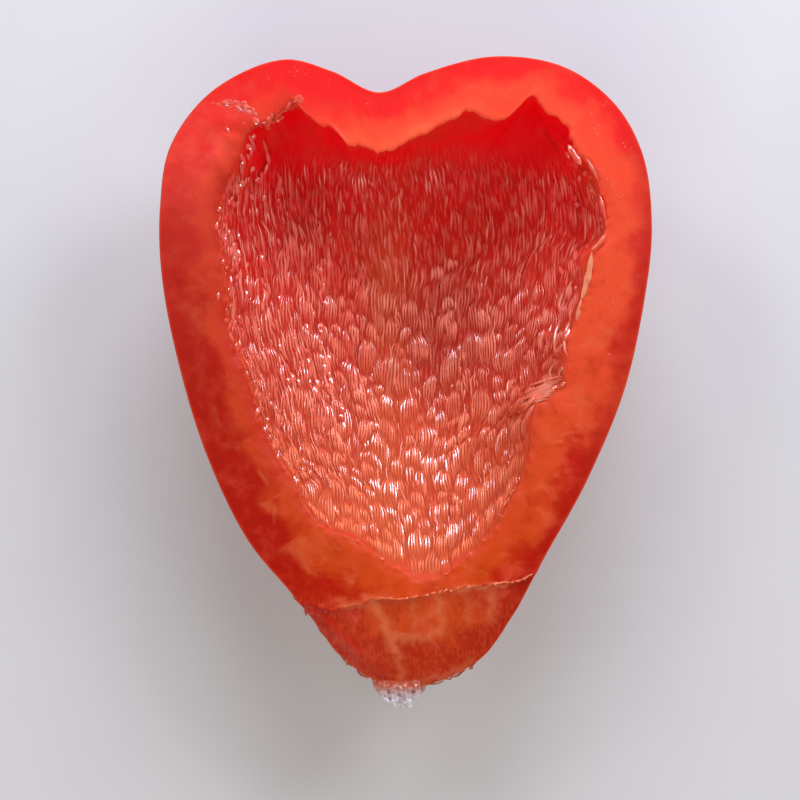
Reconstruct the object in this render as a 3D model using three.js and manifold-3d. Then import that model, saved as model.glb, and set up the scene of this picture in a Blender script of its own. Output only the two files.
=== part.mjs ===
// A cheek of red bell pepper, sliced lengthwise off the fruit and lying on its skin.
// Units are millimetres. +Z is up, +Y runs from the tip to the two shoulder lobes and +X
// runs across. The origin is on the resting surface, below the middle of the piece.
import * as THREE from 'three';
import Module from 'manifold-3d';
import { mergeVertices } from 'three/addons/utils/BufferGeometryUtils.js';

const wasm = await Module();
wasm.setup();

// Driving dimensions.
const DEPTH = 24; // resting patch to the main cut face
const HOLLOW_DEPTH = 17.6; // main cut face to the floor of the hollow
const PATCH_SHARE = 0.3; // resting patch, as a share of the outline
const SKIN_STEPS = 120; // points round the skin
const HOLLOW_STEPS = 132; // points round the hollow
const BELLY = new THREE.Vector2(0.5, 7); // middle of the patch that it lies on
const FLOOR = new THREE.Vector2(0.5, 11); // deepest place of the hollow
const RIB_HEIGHT = 1.7; // low rib between the two lobes, inside
const LIP_UNDERCUT = 2.4; // how far the hollow runs in under the shoulder's lip
const TRIM_ANGLE = 15; // degrees by which the second cut slopes down to the tip
const TRIM_LINE = [
  [-16.7, -34.0],
  [19.8, -29.4],
]; // where the second cut meets the main one

// The skin's line in the main cut face, clockwise from the notch between the lobes. Round
// the tip it is the line before the second cut takes the end off.
const SKIN_LINE = [
  [-4.0, 44.6],
  [3.1, 47.6],
  [13.5, 50.1],
  [24.1, 48.6],
  [32.0, 43.0],
  [36.4, 35.2],
  [37.8, 24.5],
  [36.9, 14.0],
  [33.6, -1.0],
  [28.0, -14.6],
  [20.4, -28.6],
  [17.1, -36.0],
  [11.8, -44.9],
  [3.6, -49.5],
  [-4.2, -48.8],
  [-9.8, -44.2],
  [-16.4, -33.6],
  [-24.1, -24.1],
  [-30.4, -11.2],
  [-34.8, 3.1],
  [-37.3, 16.5],
  [-37.6, 27.0],
  [-36.0, 36.4],
  [-29.4, 45.0],
  [-18.7, 49.6],
  [-11.2, 47.8],
];

// The hollow's edge in the main cut face, clockwise from the lip below the notch. The knife
// tore the soft inner wall a little, so the edge is nicked under the lobes.
const HOLLOW_LINE = [
  [-4.0, 35.1],
  [1.2, 36.8],
  [8.6, 41.4],
  [11.4, 41.9],
  [15.1, 40.2],
  [19.6, 44.0],
  [25.6, 39.8],
  [26.8, 34.2],
  [30.6, 28.8],
  [30.4, 22.2],
  [28.0, 18.2],
  [27.0, 12.8],
  [24.3, 4.8],
  [23.6, -0.8],
  [20.0, -4.6],
  [18.9, -12.4],
  [14.2, -21.6],
  [8.2, -27.6],
  [3.9, -30.0],
  [-2.0, -27.9],
  [-8.6, -23.6],
  [-13.2, -21.8],
  [-17.6, -14.8],
  [-21.8, -7.2],
  [-24.2, 0.4],
  [-27.4, 9.0],
  [-27.6, 15.2],
  [-28.9, 22.0],
  [-28.0, 31.2],
  [-26.0, 36.9],
  [-22.8, 39.8],
  [-18.2, 41.2],
  [-13.4, 38.9],
  [-8.4, 35.9],
];

// A ring of evenly spaced points on a smooth closed line.
function ring(line, steps) {
  const points = line.map(([x, y]) => new THREE.Vector3(x, y, 0));
  const curve = new THREE.CatmullRomCurve3(points, true, 'centripetal');
  return curve.getSpacedPoints(steps).slice(0, steps).map((p) => new THREE.Vector2(p.x, p.y));
}

// The same ring with its small bends evened out by averaging each point with its neighbours.
function evened(points, passes) {
  let even = points;
  for (let pass = 0; pass < passes; pass += 1) {
    const from = even;
    even = from.map((p, i) => {
      const before = from.at(i - 1);
      const after = from[(i + 1) % from.length];
      return p.clone().multiplyScalar(2).add(before).add(after).divideScalar(4);
    });
  }
  return even;
}

// The rise of a bowl from its floor (u = 0) to its rim (u = 1). Near 1, the roundness makes
// the wall upright at the rim, and a fullness above 2 makes the floor flatter and wider.
function bowlRise(u, roundness, fullness) {
  const full = 1 - Math.sqrt(1 - roundness ** fullness);
  return (1 - Math.sqrt(1 - (roundness * u) ** fullness)) / full;
}

// A closed solid through a stack of rings of equal count, each an array of Vector3, with
// flat ends. The rings run anticlockwise seen from above and the stack goes upwards.
function stack(rings) {
  const steps = rings[0].length;
  const position = rings.flat().flatMap((p) => [p.x, p.y, p.z]);
  const index = [];
  for (let level = 0; level + 1 < rings.length; level += 1) {
    for (let i = 0; i < steps; i += 1) {
      const next = (i + 1) % steps;
      const a = level * steps + i;
      const b = level * steps + next;
      index.push(a, b, b + steps, a, b + steps, a + steps);
    }
  }
  const last = (rings.length - 1) * steps;
  const flat = (r) => r.map((p) => new THREE.Vector2(p.x, p.y));
  for (const [a, b, c] of THREE.ShapeUtils.triangulateShape(flat(rings[0]), [])) {
    index.push(a, c, b);
  }
  for (const [a, b, c] of THREE.ShapeUtils.triangulateShape(flat(rings.at(-1)), [])) {
    index.push(last + a, last + b, last + c);
  }
  const geometry = new THREE.BufferGeometry();
  geometry.setAttribute('position', new THREE.Float32BufferAttribute(position, 3));
  geometry.setIndex(index);
  return geometry;
}

function toSolid(geometry) {
  geometry.deleteAttribute('normal');
  geometry.deleteAttribute('uv');
  const merged = mergeVertices(geometry, 1e-4);
  return new wasm.Manifold(
    new wasm.Mesh({
      numProp: 3,
      vertProperties: new Float32Array(merged.attributes.position.array),
      triVerts: new Uint32Array(merged.index.array),
    }),
  );
}

function toGeometry(solid) {
  const mesh = solid.getMesh();
  const geometry = new THREE.BufferGeometry();
  geometry.setAttribute('position', new THREE.BufferAttribute(mesh.vertProperties, 3));
  geometry.setIndex(new THREE.BufferAttribute(mesh.triVerts, 1));
  geometry.computeVertexNormals();
  return geometry;
}

// The outside: a bowl of skin with two shoulder lobes. The notch between them runs down
// the skin as a furrow and dies out on the belly. The shoulders stand up steeply and the
// skin runs out in a long slope to the tip.
function skinBody() {
  const line = ring(SKIN_LINE, SKIN_STEPS).reverse();
  const levels = [0, 0.2, 0.38, 0.53, 0.66, 0.77, 0.86, 0.93, 0.975, 1];
  const rings = levels.map((u) =>
    line.map((rim) => {
      const out = rim.clone().sub(BELLY);
      const along = out.y / out.length();
      const roundness = along > 0 ? 0.91 + 0.06 * along : 0.91 + 0.05 * along;
      const share = PATCH_SHARE + (1 - PATCH_SHARE) * u;
      const p = BELLY.clone().addScaledVector(out, share);
      return new THREE.Vector3(p.x, p.y, DEPTH * bowlRise(u, roundness, 2));
    }),
  );
  return toSolid(stack(rings));
}

// The seed hollow: it runs in under the lip at the shoulders, has a low rib between the
// lobes and climbs slowly to its end near the tip. The nicks of its edge die out down the
// wall. Above the cut face it goes straight up.
function hollowBody() {
  const line = ring(HOLLOW_LINE, HOLLOW_STEPS).reverse();
  const levels = [0.06, 0.2, 0.36, 0.5, 0.62, 0.73, 0.82, 0.89, 0.95, 0.985, 1];
  const rings = levels.map((u) =>
    evened(line, Math.round(120 * (1 - u))).map((edge) => {
      const out = edge.clone().sub(FLOOR);
      const along = out.y / out.length();
      const roundness = along > 0 ? 0.98 + 0.01 * along : 0.98 + 0.06 * along;
      const p = FLOOR.clone().addScaledVector(out, u);
      const under = LIP_UNDERCUT * Math.max(0, along) ** 3 * (u * u - u ** 10) * 2;
      p.addScaledVector(out, under / out.length());
      const rib = RIB_HEIGHT * Math.exp(-(((p.x + 2.5) / 4) ** 2)) * (1 - u * u);
      const fullness = 2.35 + 0.2 * along;
      const z = DEPTH - HOLLOW_DEPTH * (1 - bowlRise(u, roundness, fullness)) + rib;
      return new THREE.Vector3(p.x, p.y, z);
    }),
  );
  rings.push(line.map((edge) => new THREE.Vector3(edge.x, edge.y, DEPTH + 4)));
  return toSolid(stack(rings));
}

// What the second cut takes off: a block whose underside slopes down to the tip.
function trimBlock() {
  const [[ax, ay], [bx, by]] = TRIM_LINE;
  const block = new THREE.BoxGeometry(120, 60, 40);
  block.translate(0, -30, 20);
  block.rotateX(THREE.MathUtils.degToRad(TRIM_ANGLE));
  block.rotateZ(Math.atan2(by - ay, bx - ax));
  block.translate((ax + bx) / 2, (ay + by) / 2, DEPTH);
  return toSolid(block);
}

// The torn scrap of pale inner tissue that hangs off the tip.
function tipScrap() {
  const shape = new THREE.Shape();
  shape.moveTo(-5.2, -44.4);
  shape.lineTo(-5.0, -46.8);
  shape.quadraticCurveTo(-4.2, -48.6, -2.9, -49.7);
  shape.lineTo(0.4, -49.8);
  shape.lineTo(1.0, -49.0);
  shape.quadraticCurveTo(2.2, -48.4, 2.5, -47.2);
  shape.lineTo(2.8, -44.4);
  const scrap = new THREE.ExtrudeGeometry(shape, {
    depth: 1.4,
    bevelThickness: 0.4,
    bevelSize: 0.4,
    bevelSegments: 2,
    curveSegments: 4,
  });
  scrap.translate(0, 0, DEPTH - 5.8);
  return toSolid(scrap);
}

const cheek = skinBody().subtract(hollowBody()).subtract(trimBlock()).add(tipScrap());

const flesh = new THREE.MeshStandardMaterial({
  name: 'pepper_flesh',
  color: '#c8321f',
  roughness: 0.35,
  metalness: 0,
});
const mesh = new THREE.Mesh(toGeometry(cheek), flesh);
mesh.name = 'pepper_cheek';

const pepper = new THREE.Group();
pepper.add(mesh);

export default pepper;
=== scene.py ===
import math

import bpy
import numpy as np
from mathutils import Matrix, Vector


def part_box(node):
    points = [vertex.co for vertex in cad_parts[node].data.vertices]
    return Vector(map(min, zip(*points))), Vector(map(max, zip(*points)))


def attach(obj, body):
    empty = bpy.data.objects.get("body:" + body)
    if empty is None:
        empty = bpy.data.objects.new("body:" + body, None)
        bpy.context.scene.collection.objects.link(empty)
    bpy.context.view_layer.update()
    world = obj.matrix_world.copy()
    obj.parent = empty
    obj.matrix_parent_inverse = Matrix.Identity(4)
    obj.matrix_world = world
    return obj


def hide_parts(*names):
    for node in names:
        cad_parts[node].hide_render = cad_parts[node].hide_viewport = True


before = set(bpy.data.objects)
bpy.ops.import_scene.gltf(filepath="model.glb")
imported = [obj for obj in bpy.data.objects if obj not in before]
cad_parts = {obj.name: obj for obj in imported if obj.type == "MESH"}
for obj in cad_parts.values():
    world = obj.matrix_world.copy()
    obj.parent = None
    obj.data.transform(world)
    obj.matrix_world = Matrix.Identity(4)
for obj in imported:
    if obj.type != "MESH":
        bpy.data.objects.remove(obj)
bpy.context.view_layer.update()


# Board, window light and camera ----------------------------------------------------------
# The cheek lies skin down on a plain pale surface in a bright room. The main window is past
# the shoulders, with a smaller one at each side of it and one past the tip, and two pale
# walls fill the shadows. The camera looks straight down on the cut.

def linear(hex_colour):
    """An sRGB hex colour as linear RGBA."""
    channels = [int(hex_colour[i : i + 2], 16) / 255 for i in (1, 3, 5)]
    lit = [c / 12.92 if c <= 0.04045 else ((c + 0.055) / 1.055) ** 2.4 for c in channels]
    return (*lit, 1.0)


def add(tree, kind, inputs=None, **settings):
    """A new node with its settings. An input is set, or linked to a node's first output."""
    node = tree.nodes.new(kind)
    for name, value in settings.items():
        setattr(node, name, value)
    for socket, value in (inputs or {}).items():
        if isinstance(value, bpy.types.Node):
            value = value.outputs[0]
        if isinstance(value, bpy.types.NodeSocket):
            tree.links.new(value, node.inputs[socket])
        else:
            node.inputs[socket].default_value = value
    return node


def new_material(name):
    """An empty material with its output node, and its node tree."""
    material = bpy.data.materials.new(name)
    material.use_nodes = True
    material.node_tree.nodes.clear()
    return material, material.node_tree


scene = bpy.context.scene
scene.view_settings.view_transform = "Standard"

# Matt paint, rolled on: pale and even, with a soft, dim reflection.
board_paint, tree = new_material("matt_pale_board")
place = add(tree, "ShaderNodeTexCoord").outputs["Object"]
speck = add(tree, "ShaderNodeTexNoise", {"Vector": place, "Scale": 40.0})
tone = add(
    tree, "ShaderNodeMix", {0: speck, 6: linear("#d3d0cb"), 7: linear("#d9d6d1")}, data_type="RGBA"
)
paint = {"Base Color": tone.outputs[2], "Roughness": 0.7, "Specular IOR Level": 0.25}
surface = add(tree, "ShaderNodeBsdfPrincipled", paint)
add(tree, "ShaderNodeOutputMaterial", {"Surface": surface})

BOARD = 1.5  # half its side, in metres
board_mesh = bpy.data.meshes.new("board")
corners = [(-BOARD, -BOARD, 0), (BOARD, -BOARD, 0), (BOARD, BOARD, 0), (-BOARD, BOARD, 0)]
board_mesh.from_pydata(corners, [], [(0, 1, 2, 3)])
board_mesh.materials.append(board_paint)
board = bpy.data.objects.new("board", board_mesh)
scene.collection.objects.link(board)

room = bpy.data.worlds.new("room")
scene.world = room
room.use_nodes = True
room.node_tree.nodes.clear()
tree = room.node_tree
sky = add(tree, "ShaderNodeBackground", {"Color": linear("#f4f4f6"), "Strength": 0.15})
add(tree, "ShaderNodeOutputWorld", {"Surface": sky})


def hang_light(name, place, size, power, colour):
    """A soft rectangular light at a place in metres, turned to face the cheek."""
    lamp = bpy.data.lights.new(name, "AREA")
    lamp.shape = "RECTANGLE"
    lamp.size, lamp.size_y = size
    lamp.energy = power
    lamp.color = linear(colour)[:3]
    holder = bpy.data.objects.new(name, lamp)
    scene.collection.objects.link(holder)
    x, y, z = place
    flat = math.hypot(x, y)
    holder.location = place
    holder.rotation_euler = (math.atan2(flat, z), 0, math.atan2(x, -y))


hang_light("window", (0.02, 0.45, 0.27), (0.30, 0.24), 2.4, "#dee4ff")
hang_light("near_window", (-0.06, -0.55, 0.33), (0.36, 0.18), 1.7, "#fffaf6")
hang_light("left_window", (-0.30, 0.34, 0.30), (0.14, 0.20), 0.75, "#e8ecff")
hang_light("right_window", (0.32, 0.31, 0.28), (0.17, 0.22), 1.35, "#e8ecff")
hang_light("right_wall", (0.55, -0.05, 0.42), (0.4, 0.4), 0.55, "#fff8f4")
hang_light("left_wall", (-0.55, 0.00, 0.42), (0.4, 0.4), 0.5, "#fff8f4")

VIEW_WIDTH = 0.122  # what the picture spans at the height of the cut
CAMERA_HEIGHT = 0.32
CUT_HEIGHT = 0.024
SENSOR = 36
camera_data = bpy.data.cameras.new("camera")
camera_data.sensor_width = SENSOR
camera_data.lens = SENSOR * (CAMERA_HEIGHT - CUT_HEIGHT) / VIEW_WIDTH
camera_data.clip_start = 0.01
camera = bpy.data.objects.new("camera", camera_data)
camera.location = (-0.0008, -0.0025, CAMERA_HEIGHT)
scene.collection.objects.link(camera)
scene.camera = camera


# The cheek's form ------------------------------------------------------------------------
# A lengthwise slice of a two-lobed wall of the fruit. The skin side is a bowl with a furrow
# that runs down from the notch; the knife left a flat face round the seed hollow, and a
# second cut slopes down across the tip. All sizes are in millimetres until the mesh is made.

MM = 0.001
low, high = (np.array(corner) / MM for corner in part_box("pepper_cheek"))
DEPTH = high[2]  # resting patch to the main cut face
CUT = DEPTH - 0.30  # the cut flesh itself, below its raised burrs
HOLLOW_DEPTH = 17.6
PATCH_SHARE = 0.3  # size of the resting patch, as a share of the skin's outline
BELLY = np.array([0.5, 7.0])  # centre of the resting patch
FLOOR = np.array([0.5, 11.0])  # deepest point of the hollow
SPINE_HEIGHT = 1.7  # low ridge down the middle of the hollow
LIP_UNDERCUT = 2.4
TRIM_SLOPE = math.tan(math.radians(15))
SKIN_EDGE = 0.16  # rounding of the cut edge of the skin

# The skin's outline at the cut, the hollow's edge, and the line where the second cut starts.
SKIN_LINE = [
    (-4.0, 44.6), (3.1, 47.6), (13.5, 50.1), (24.1, 48.6), (32.0, 43.0), (36.4, 35.2),
    (37.8, 24.5), (36.9, 14.0), (33.6, -1.0), (28.0, -14.6), (20.4, -28.6), (17.1, -36.0),
    (11.8, -44.9), (3.6, -49.5), (-4.2, -48.8), (-9.8, -44.2), (-16.4, -33.6), (-24.1, -24.1),
    (-30.4, -11.2), (-34.8, 3.1), (-37.3, 16.5), (-37.6, 27.0), (-36.0, 36.4), (-29.4, 45.0),
    (-18.7, 49.6), (-11.2, 47.8),
]
HOLLOW_LINE = [
    (-4.3, 35.4), (-2.2, 35.7), (-0.5, 36.6), (4.2, 38.7), (8.3, 41.2), (10.3, 42.0),
    (11.9, 40.5), (14.9, 40.1), (17.0, 41.7), (19.2, 43.5), (22.6, 41.0), (25.0, 39.6),
    (25.6, 35.8), (28.2, 33.0), (30.0, 28.8), (30.4, 22.6), (28.4, 19.8), (27.2, 13.2), (24.6, 5.2),
    (23.9, -0.4), (20.0, -4.0), (18.9, -12.4), (14.2, -21.6), (8.2, -27.6), (3.9, -30.0),
    (-2.0, -27.9), (-8.6, -23.6), (-13.2, -21.8), (-17.6, -14.8), (-21.8, -7.2), (-24.2, 0.4),
    (-27.0, 9.0), (-27.4, 15.2), (-28.6, 22.0), (-28.0, 28.6), (-25.6, 34.0), (-23.2, 39.2),
    (-19.6, 40.8), (-17.2, 43.2), (-15.2, 41.0), (-11.6, 38.9), (-8.4, 36.6), (-6.4, 35.8),
]
TRIM_LINE = [
    (-18.0, -33.0), (-15.5, -33.6), (-11.1, -34.6), (-7.5, -33.8), (-4.7, -32.8), (0.6, -32.8),
    (4.7, -31.9), (8.7, -31.1), (12.8, -30.6), (17.2, -30.1), (21.0, -28.6),
]


def spaced(line, steps, endpoint=True):
    """Points at even distances along a line, and those distances."""
    run = np.r_[0, np.cumsum(np.linalg.norm(np.diff(line, axis=0), axis=1))]
    at = np.linspace(0, run[-1], steps, endpoint=endpoint)
    return np.stack([np.interp(at, run, axis) for axis in line.T], axis=1), at


def closed_line(points, steps):
    """Evenly spaced points on a smooth closed line, anticlockwise seen from above."""
    line = np.array(points[::-1])
    bends = []
    for i in range(len(line)):
        p0, p1, p2, p3 = (line[(i + k - 1) % len(line)] for k in range(4))
        d0, d1, d2 = (math.sqrt(math.dist(a, b)) for a, b in ((p0, p1), (p1, p2), (p2, p3)))
        leave = ((p1 - p0) / d0 - (p2 - p0) / (d0 + d1) + (p2 - p1) / d1) * d1
        arrive = ((p2 - p1) / d1 - (p3 - p1) / (d1 + d2) + (p3 - p2) / d2) * d1
        t = np.linspace(0, 1, 60, endpoint=False)[:, None]
        cubic = 2 * (p1 - p2) + leave + arrive
        square = 3 * (p2 - p1) - 2 * leave - arrive
        bends.append(p1 + t * (leave + t * (square + t * cubic)))
    return spaced(np.vstack([*bends, bends[0][:1]]), steps, endpoint=False)[0]


def ease(low_end, high_end, value):
    """A smooth step from 0 to 1."""
    t = np.clip((value - low_end) / (high_end - low_end), 0, 1)
    return t * t * (3 - 2 * t)


def bowl_rise(u, roundness, fullness):
    """The rise of a bowl from its floor (u = 0) to its rim (u = 1)."""
    whole = 1 - np.sqrt(1 - roundness**fullness)
    return (1 - np.sqrt(1 - (roundness * u) ** fullness)) / whole


def from_line(x, y, a, b):
    """Signed distance of points from the line a to b, positive on its left."""
    run = np.array(b) - np.array(a)
    run = run / np.linalg.norm(run)
    return run[0] * (y - a[1]) - run[1] * (x - a[0])


def beyond_trim(x, y):
    """How far points lie past the second cut's wavy upper line."""
    trim_x, trim_y = np.array(TRIM_LINE).T
    wave = 0.16 * np.sin(x * 2.1) * np.sin(x * 0.83 + 1) + 0.05 * np.sin(x * 5.7)
    return np.interp(x, trim_x, trim_y) - y + wave


def cut_height(x, y):
    """Height of the knife's cuts: the main face, the sloping trim and two small bevels."""
    beyond = beyond_trim(x, y)
    sway = 0.06 * np.sin(x / 7.0 + 0.6) * np.sin(y / 11.0) + 0.04 * np.sin((x + y) / 4.3)
    crests = 0.3 + 0.45 * np.sin(x * 0.9) ** 2 + 0.25 * np.sin(x * 2.7 + 1) ** 2
    burr = 0.26 * np.exp(-(((beyond + 0.1) / 0.30) ** 2)) * crests
    step = 0.12 * ease(0.0, 0.5, beyond)
    slope = TRIM_SLOPE * np.maximum(0, beyond)
    left = -from_line(x, y, (-15.4, -33.2), (-5.6, -43.0)) + 0.25 * np.sin(x * 1.3)
    right = -from_line(x, y, (1.0, -46.2), (11.6, -42.8)) + 0.2 * np.sin(x * 1.9)
    bevel = 0.16 * np.maximum(0, left) * ease(0, 2, beyond)
    bevel = bevel + 0.2 * np.maximum(0, right) * ease(6, 10, beyond)
    return CUT + sway + burr - step - slope - bevel


def skin_point(rim, u):
    """Points on the skin side, from the resting patch (u = 0) to the line of the main cut."""
    out = rim - BELLY
    along = out[:, 1] / np.linalg.norm(out, axis=1)
    roundness = 0.91 + np.where(along > 0, 0.06, 0.05) * along
    share = PATCH_SHARE + (1 - PATCH_SHARE) * u
    flat = BELLY + out * share[:, None]
    return np.column_stack([flat, DEPTH * bowl_rise(u, roundness, 2)])


# Skin rows: bisection finds where each line up the skin meets the knife's cut.
AROUND = 640
rims = closed_line(SKIN_LINE, AROUND)
turn = np.arctan2(*(rims - FLOOR).T[::-1]) % (2 * math.pi)
rims = np.roll(rims, -int(np.argmin(turn)), axis=0)
below, above = np.full(AROUND, 0.5), np.ones(AROUND)
for halving in range(40):
    middle = (below + above) / 2
    point = skin_point(rims, middle)
    over = point[:, 2] > cut_height(point[:, 0], point[:, 1]) - SKIN_EDGE
    above = np.where(over, middle, above)
    below = np.where(over, below, middle)
top_share = below
edge_loop = skin_point(rims, top_share)

# The hollow's edge about its floor, as a radius for each direction. It is nicked all round,
# and torn into teeth along the lip under the shoulders.
DIRECTIONS = 2880
ANGLES = np.linspace(0, 2 * math.pi, DIRECTIONS, endpoint=False)
hollow = closed_line(HOLLOW_LINE, 4000) - FLOOR
hollow_turn = np.arctan2(hollow[:, 1], hollow[:, 0]) % (2 * math.pi)
order = np.argsort(hollow_turn)
edge_reach = np.interp(
    ANGLES, hollow_turn[order], np.linalg.norm(hollow, axis=1)[order], period=2 * math.pi
)
dice = np.random.default_rng(7)


def rough(count, dice):
    """Uneven waves round the hollow's edge, between -1 and 1, with about `count` bends."""
    knots = dice.uniform(-1, 1, count)
    at = ANGLES / (2 * math.pi) * count
    left = np.floor(at).astype(int) % count
    return knots[left] + (knots[(left + 1) % count] - knots[left]) * ease(0, 1, at % 1)


torn_lip = ease(0.80, 0.95, np.cos(ANGLES - math.radians(64)))
torn_lip += 1.2 * ease(0.90, 0.98, np.cos(ANGLES - math.radians(112)))
off_corner = 1 - ease(0.985, 0.998, np.cos(ANGLES - math.radians(57)))
edge_reach += 0.14 * rough(150, dice) + 0.22 * rough(64, dice) + torn_lip * 0.40 * rough(150, dice)
edge_reach += 0.26 * torn_lip * off_corner * rough(320, np.random.default_rng(29))

# The same edge with its nicks blurred away, which the deeper wall follows.
spread = np.arange(-240, 241)
blur = np.exp(-((spread / 96) ** 2) / 2)
soft_reach = np.convolve(np.tile(edge_reach, 3), blur / blur.sum(), "same")[DIRECTIONS:-DIRECTIONS]


def reach(table, angle):
    """A radius from a table with one for each direction, read at any angle."""
    return np.interp(angle % (2 * math.pi), ANGLES, table, period=2 * math.pi)


def edge_roll_lip(angle):
    """1 along the crisp lip under the shoulders, 0 round the rest of the hollow."""
    return ease(0.45, 0.75, np.sin(angle))


def edge_roll(angle):
    """How deep and how wide the cut flesh rolls over into the hollow, by direction."""
    lip = edge_roll_lip(angle)
    left = ease(-0.35, -0.75, np.cos(angle)) * (1 - lip)
    right = ease(0.2, 0.7, np.cos(angle + 0.5)) * (1 - lip)
    return 0.6 - 0.4 * lip + 0.7 * left + 0.2 * right, 1.9 - 1.5 * lip + 2.2 * left + 0.9 * right


def hollow_point(x, y):
    """The wall of the hollow below plan positions x, y, and its share of the way out."""
    dx, dy = x - FLOOR[0], y - FLOOR[1]
    angle = np.arctan2(dy, dx)
    radius = np.hypot(dx, dy)
    edge = reach(edge_reach, angle)
    sharp = radius / edge
    share = radius / reach(soft_reach, angle)
    share = np.clip(share + (sharp - share) * ease(0.74, 0.99, sharp), 0, 1)
    along = np.where(radius > 1e-6, dy / np.maximum(radius, 1e-6), 0)
    roundness = 0.87 + np.where(along > 0, 0.11, 0.05) * along
    fullness = 2.1 + np.where(along > 0, 0.45, 0.35) * along
    under = LIP_UNDERCUT * np.maximum(0, along) ** 3 * (share**2 - share**10) * 2
    wall_x = x + dx / np.maximum(radius, 1e-6) * under
    wall_y = y + dy / np.maximum(radius, 1e-6) * under
    rim_x, rim_y = FLOOR[0] + edge * np.cos(angle), FLOOR[1] + edge * np.sin(angle)
    rim_z = cut_height(rim_x, rim_y) - edge_roll(angle)[0]
    floor_z = DEPTH - HOLLOW_DEPTH
    spine = SPINE_HEIGHT * np.exp(-(((wall_x + 2.5) / 4) ** 2)) * (1 - share**2)
    wall_z = floor_z + (rim_z - floor_z) * bowl_rise(share, roundness, fullness) + spine
    return np.stack([wall_x, wall_y, wall_z], axis=-1), share


# The wall's grid runs between four sides of the hollow's edge, so that its lines fan out
# from the tip to the shoulders as the cells of the inner wall do.
ACROSS, ALONG = 262, 200
INSET = 0.985
FOOT_LEFT, FOOT_RIGHT, HEAD_RIGHT, HEAD_LEFT = -114, -62, 49, 135  # directions, in degrees


def edge_stretch(start, stop, steps):
    """Plan points just inside the hollow's edge, from direction start to stop."""
    angle = np.radians(np.linspace(start, stop, 1500))
    outward = np.stack([np.cos(angle), np.sin(angle)], axis=1)
    return spaced(FLOOR + (INSET * reach(edge_reach, angle))[:, None] * outward, steps)[0]


foot = edge_stretch(FOOT_LEFT, FOOT_RIGHT, ACROSS)
head = edge_stretch(HEAD_LEFT, HEAD_RIGHT, ACROSS)
left_side = edge_stretch(FOOT_LEFT, HEAD_LEFT - 360, ALONG)
right_side = edge_stretch(FOOT_RIGHT, HEAD_RIGHT, ALONG)
u = np.linspace(0, 1, ACROSS)[None, :, None]
v = np.linspace(0, 1, ALONG)[:, None, None]
plan = (1 - v) * foot + v * head + (1 - u) * left_side[:, None] + u * right_side[:, None]
plan -= (1 - u) * (1 - v) * foot[0] + u * (1 - v) * foot[-1]
plan -= (1 - u) * v * head[0] + u * v * head[-1]
wall, wall_share = hollow_point(plan[..., 0], plan[..., 1])

# Distances over the wall itself, shrunk where the hollow is wide, so that its streaks narrow
# towards the tip.
hollow_half = np.interp(plan[..., 1], [-30, -20, 0, 12, 24, 45], [15, 19, 24, 27, 29, 28])
step_u = np.linalg.norm(np.diff(wall, axis=1), axis=2)
step_v = np.linalg.norm(np.diff(wall, axis=0), axis=2)
shrink = 24 / hollow_half
lay_x = np.cumsum(np.pad(step_u * shrink[:, 1:], ((0, 0), (1, 0))), axis=1)
lay_x -= lay_x[:, ACROSS // 2 : ACROSS // 2 + 1]
lay_y = np.cumsum(np.pad(step_v * shrink[1:] ** 0.4, ((1, 0), (0, 0))), axis=0)
lay_y -= lay_y[ALONG // 2 : ALONG // 2 + 1]

# How far each point of the wall lies from the hollow's edge, and where the lining is
# blistered: nowhere on the smooth strip under the shoulders.
wall_gap = (1 - wall_share) * reach(
    edge_reach, np.arctan2(plan[..., 1] - FLOOR[1], plan[..., 0] - FLOOR[0])
)
wall_gap = np.hypot(wall_gap, 0.6 * (CUT - wall[..., 2]))
under_lip = ease(27, 37, plan[..., 1]) * ease(0.62, 0.84, wall_share)
blistered_wall = ease(-0.6, 0.5, wall_gap) * (1 - 0.95 * under_lip)

# The mounds stand in staggered rows. Each is a lens with a steep, rounded upper end and a
# long tail, which the next mound down covers as one fish scale covers another.
MOUND_WIDTH, MOUND_LENGTH, MOUND_HEIGHT = 2.7, 6.2, 0.50
ROW_PITCH = 2.9
mound_dice = np.random.default_rng(11)
wall_normal = np.cross(np.gradient(wall, axis=1), np.gradient(wall, axis=0))
wall_normal /= np.linalg.norm(wall_normal, axis=2)[..., None]
grid_u, grid_v = np.meshgrid(np.arange(ACROSS), np.arange(ALONG))
run_across = np.cumsum(np.pad(step_u, ((0, 0), (1, 0))), axis=1)
run_along = np.r_[0, np.cumsum(step_v[:, ACROSS // 2])]


def at_grid(field, u, v):
    """A field of the wall's grid read between its points."""
    u, v = np.clip(u, 0, ACROSS - 1.001), np.clip(v, 0, ALONG - 1.001)
    left, low_row = np.floor(u).astype(int), np.floor(v).astype(int)
    p, q = u - left, v - low_row
    if field.ndim == 3:
        p, q = p[..., None], q[..., None]
    lower = field[low_row, left] * (1 - p) + field[low_row, left + 1] * p
    upper = field[low_row + 1, left] * (1 - p) + field[low_row + 1, left + 1] * p
    return lower * (1 - q) + upper * q


def lens(b):
    """Half width of a mound at b, from its tail (-1) to its upper end (1)."""
    return np.clip(1 - np.abs(b) ** 2.2, 0, 1) ** 0.75


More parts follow.
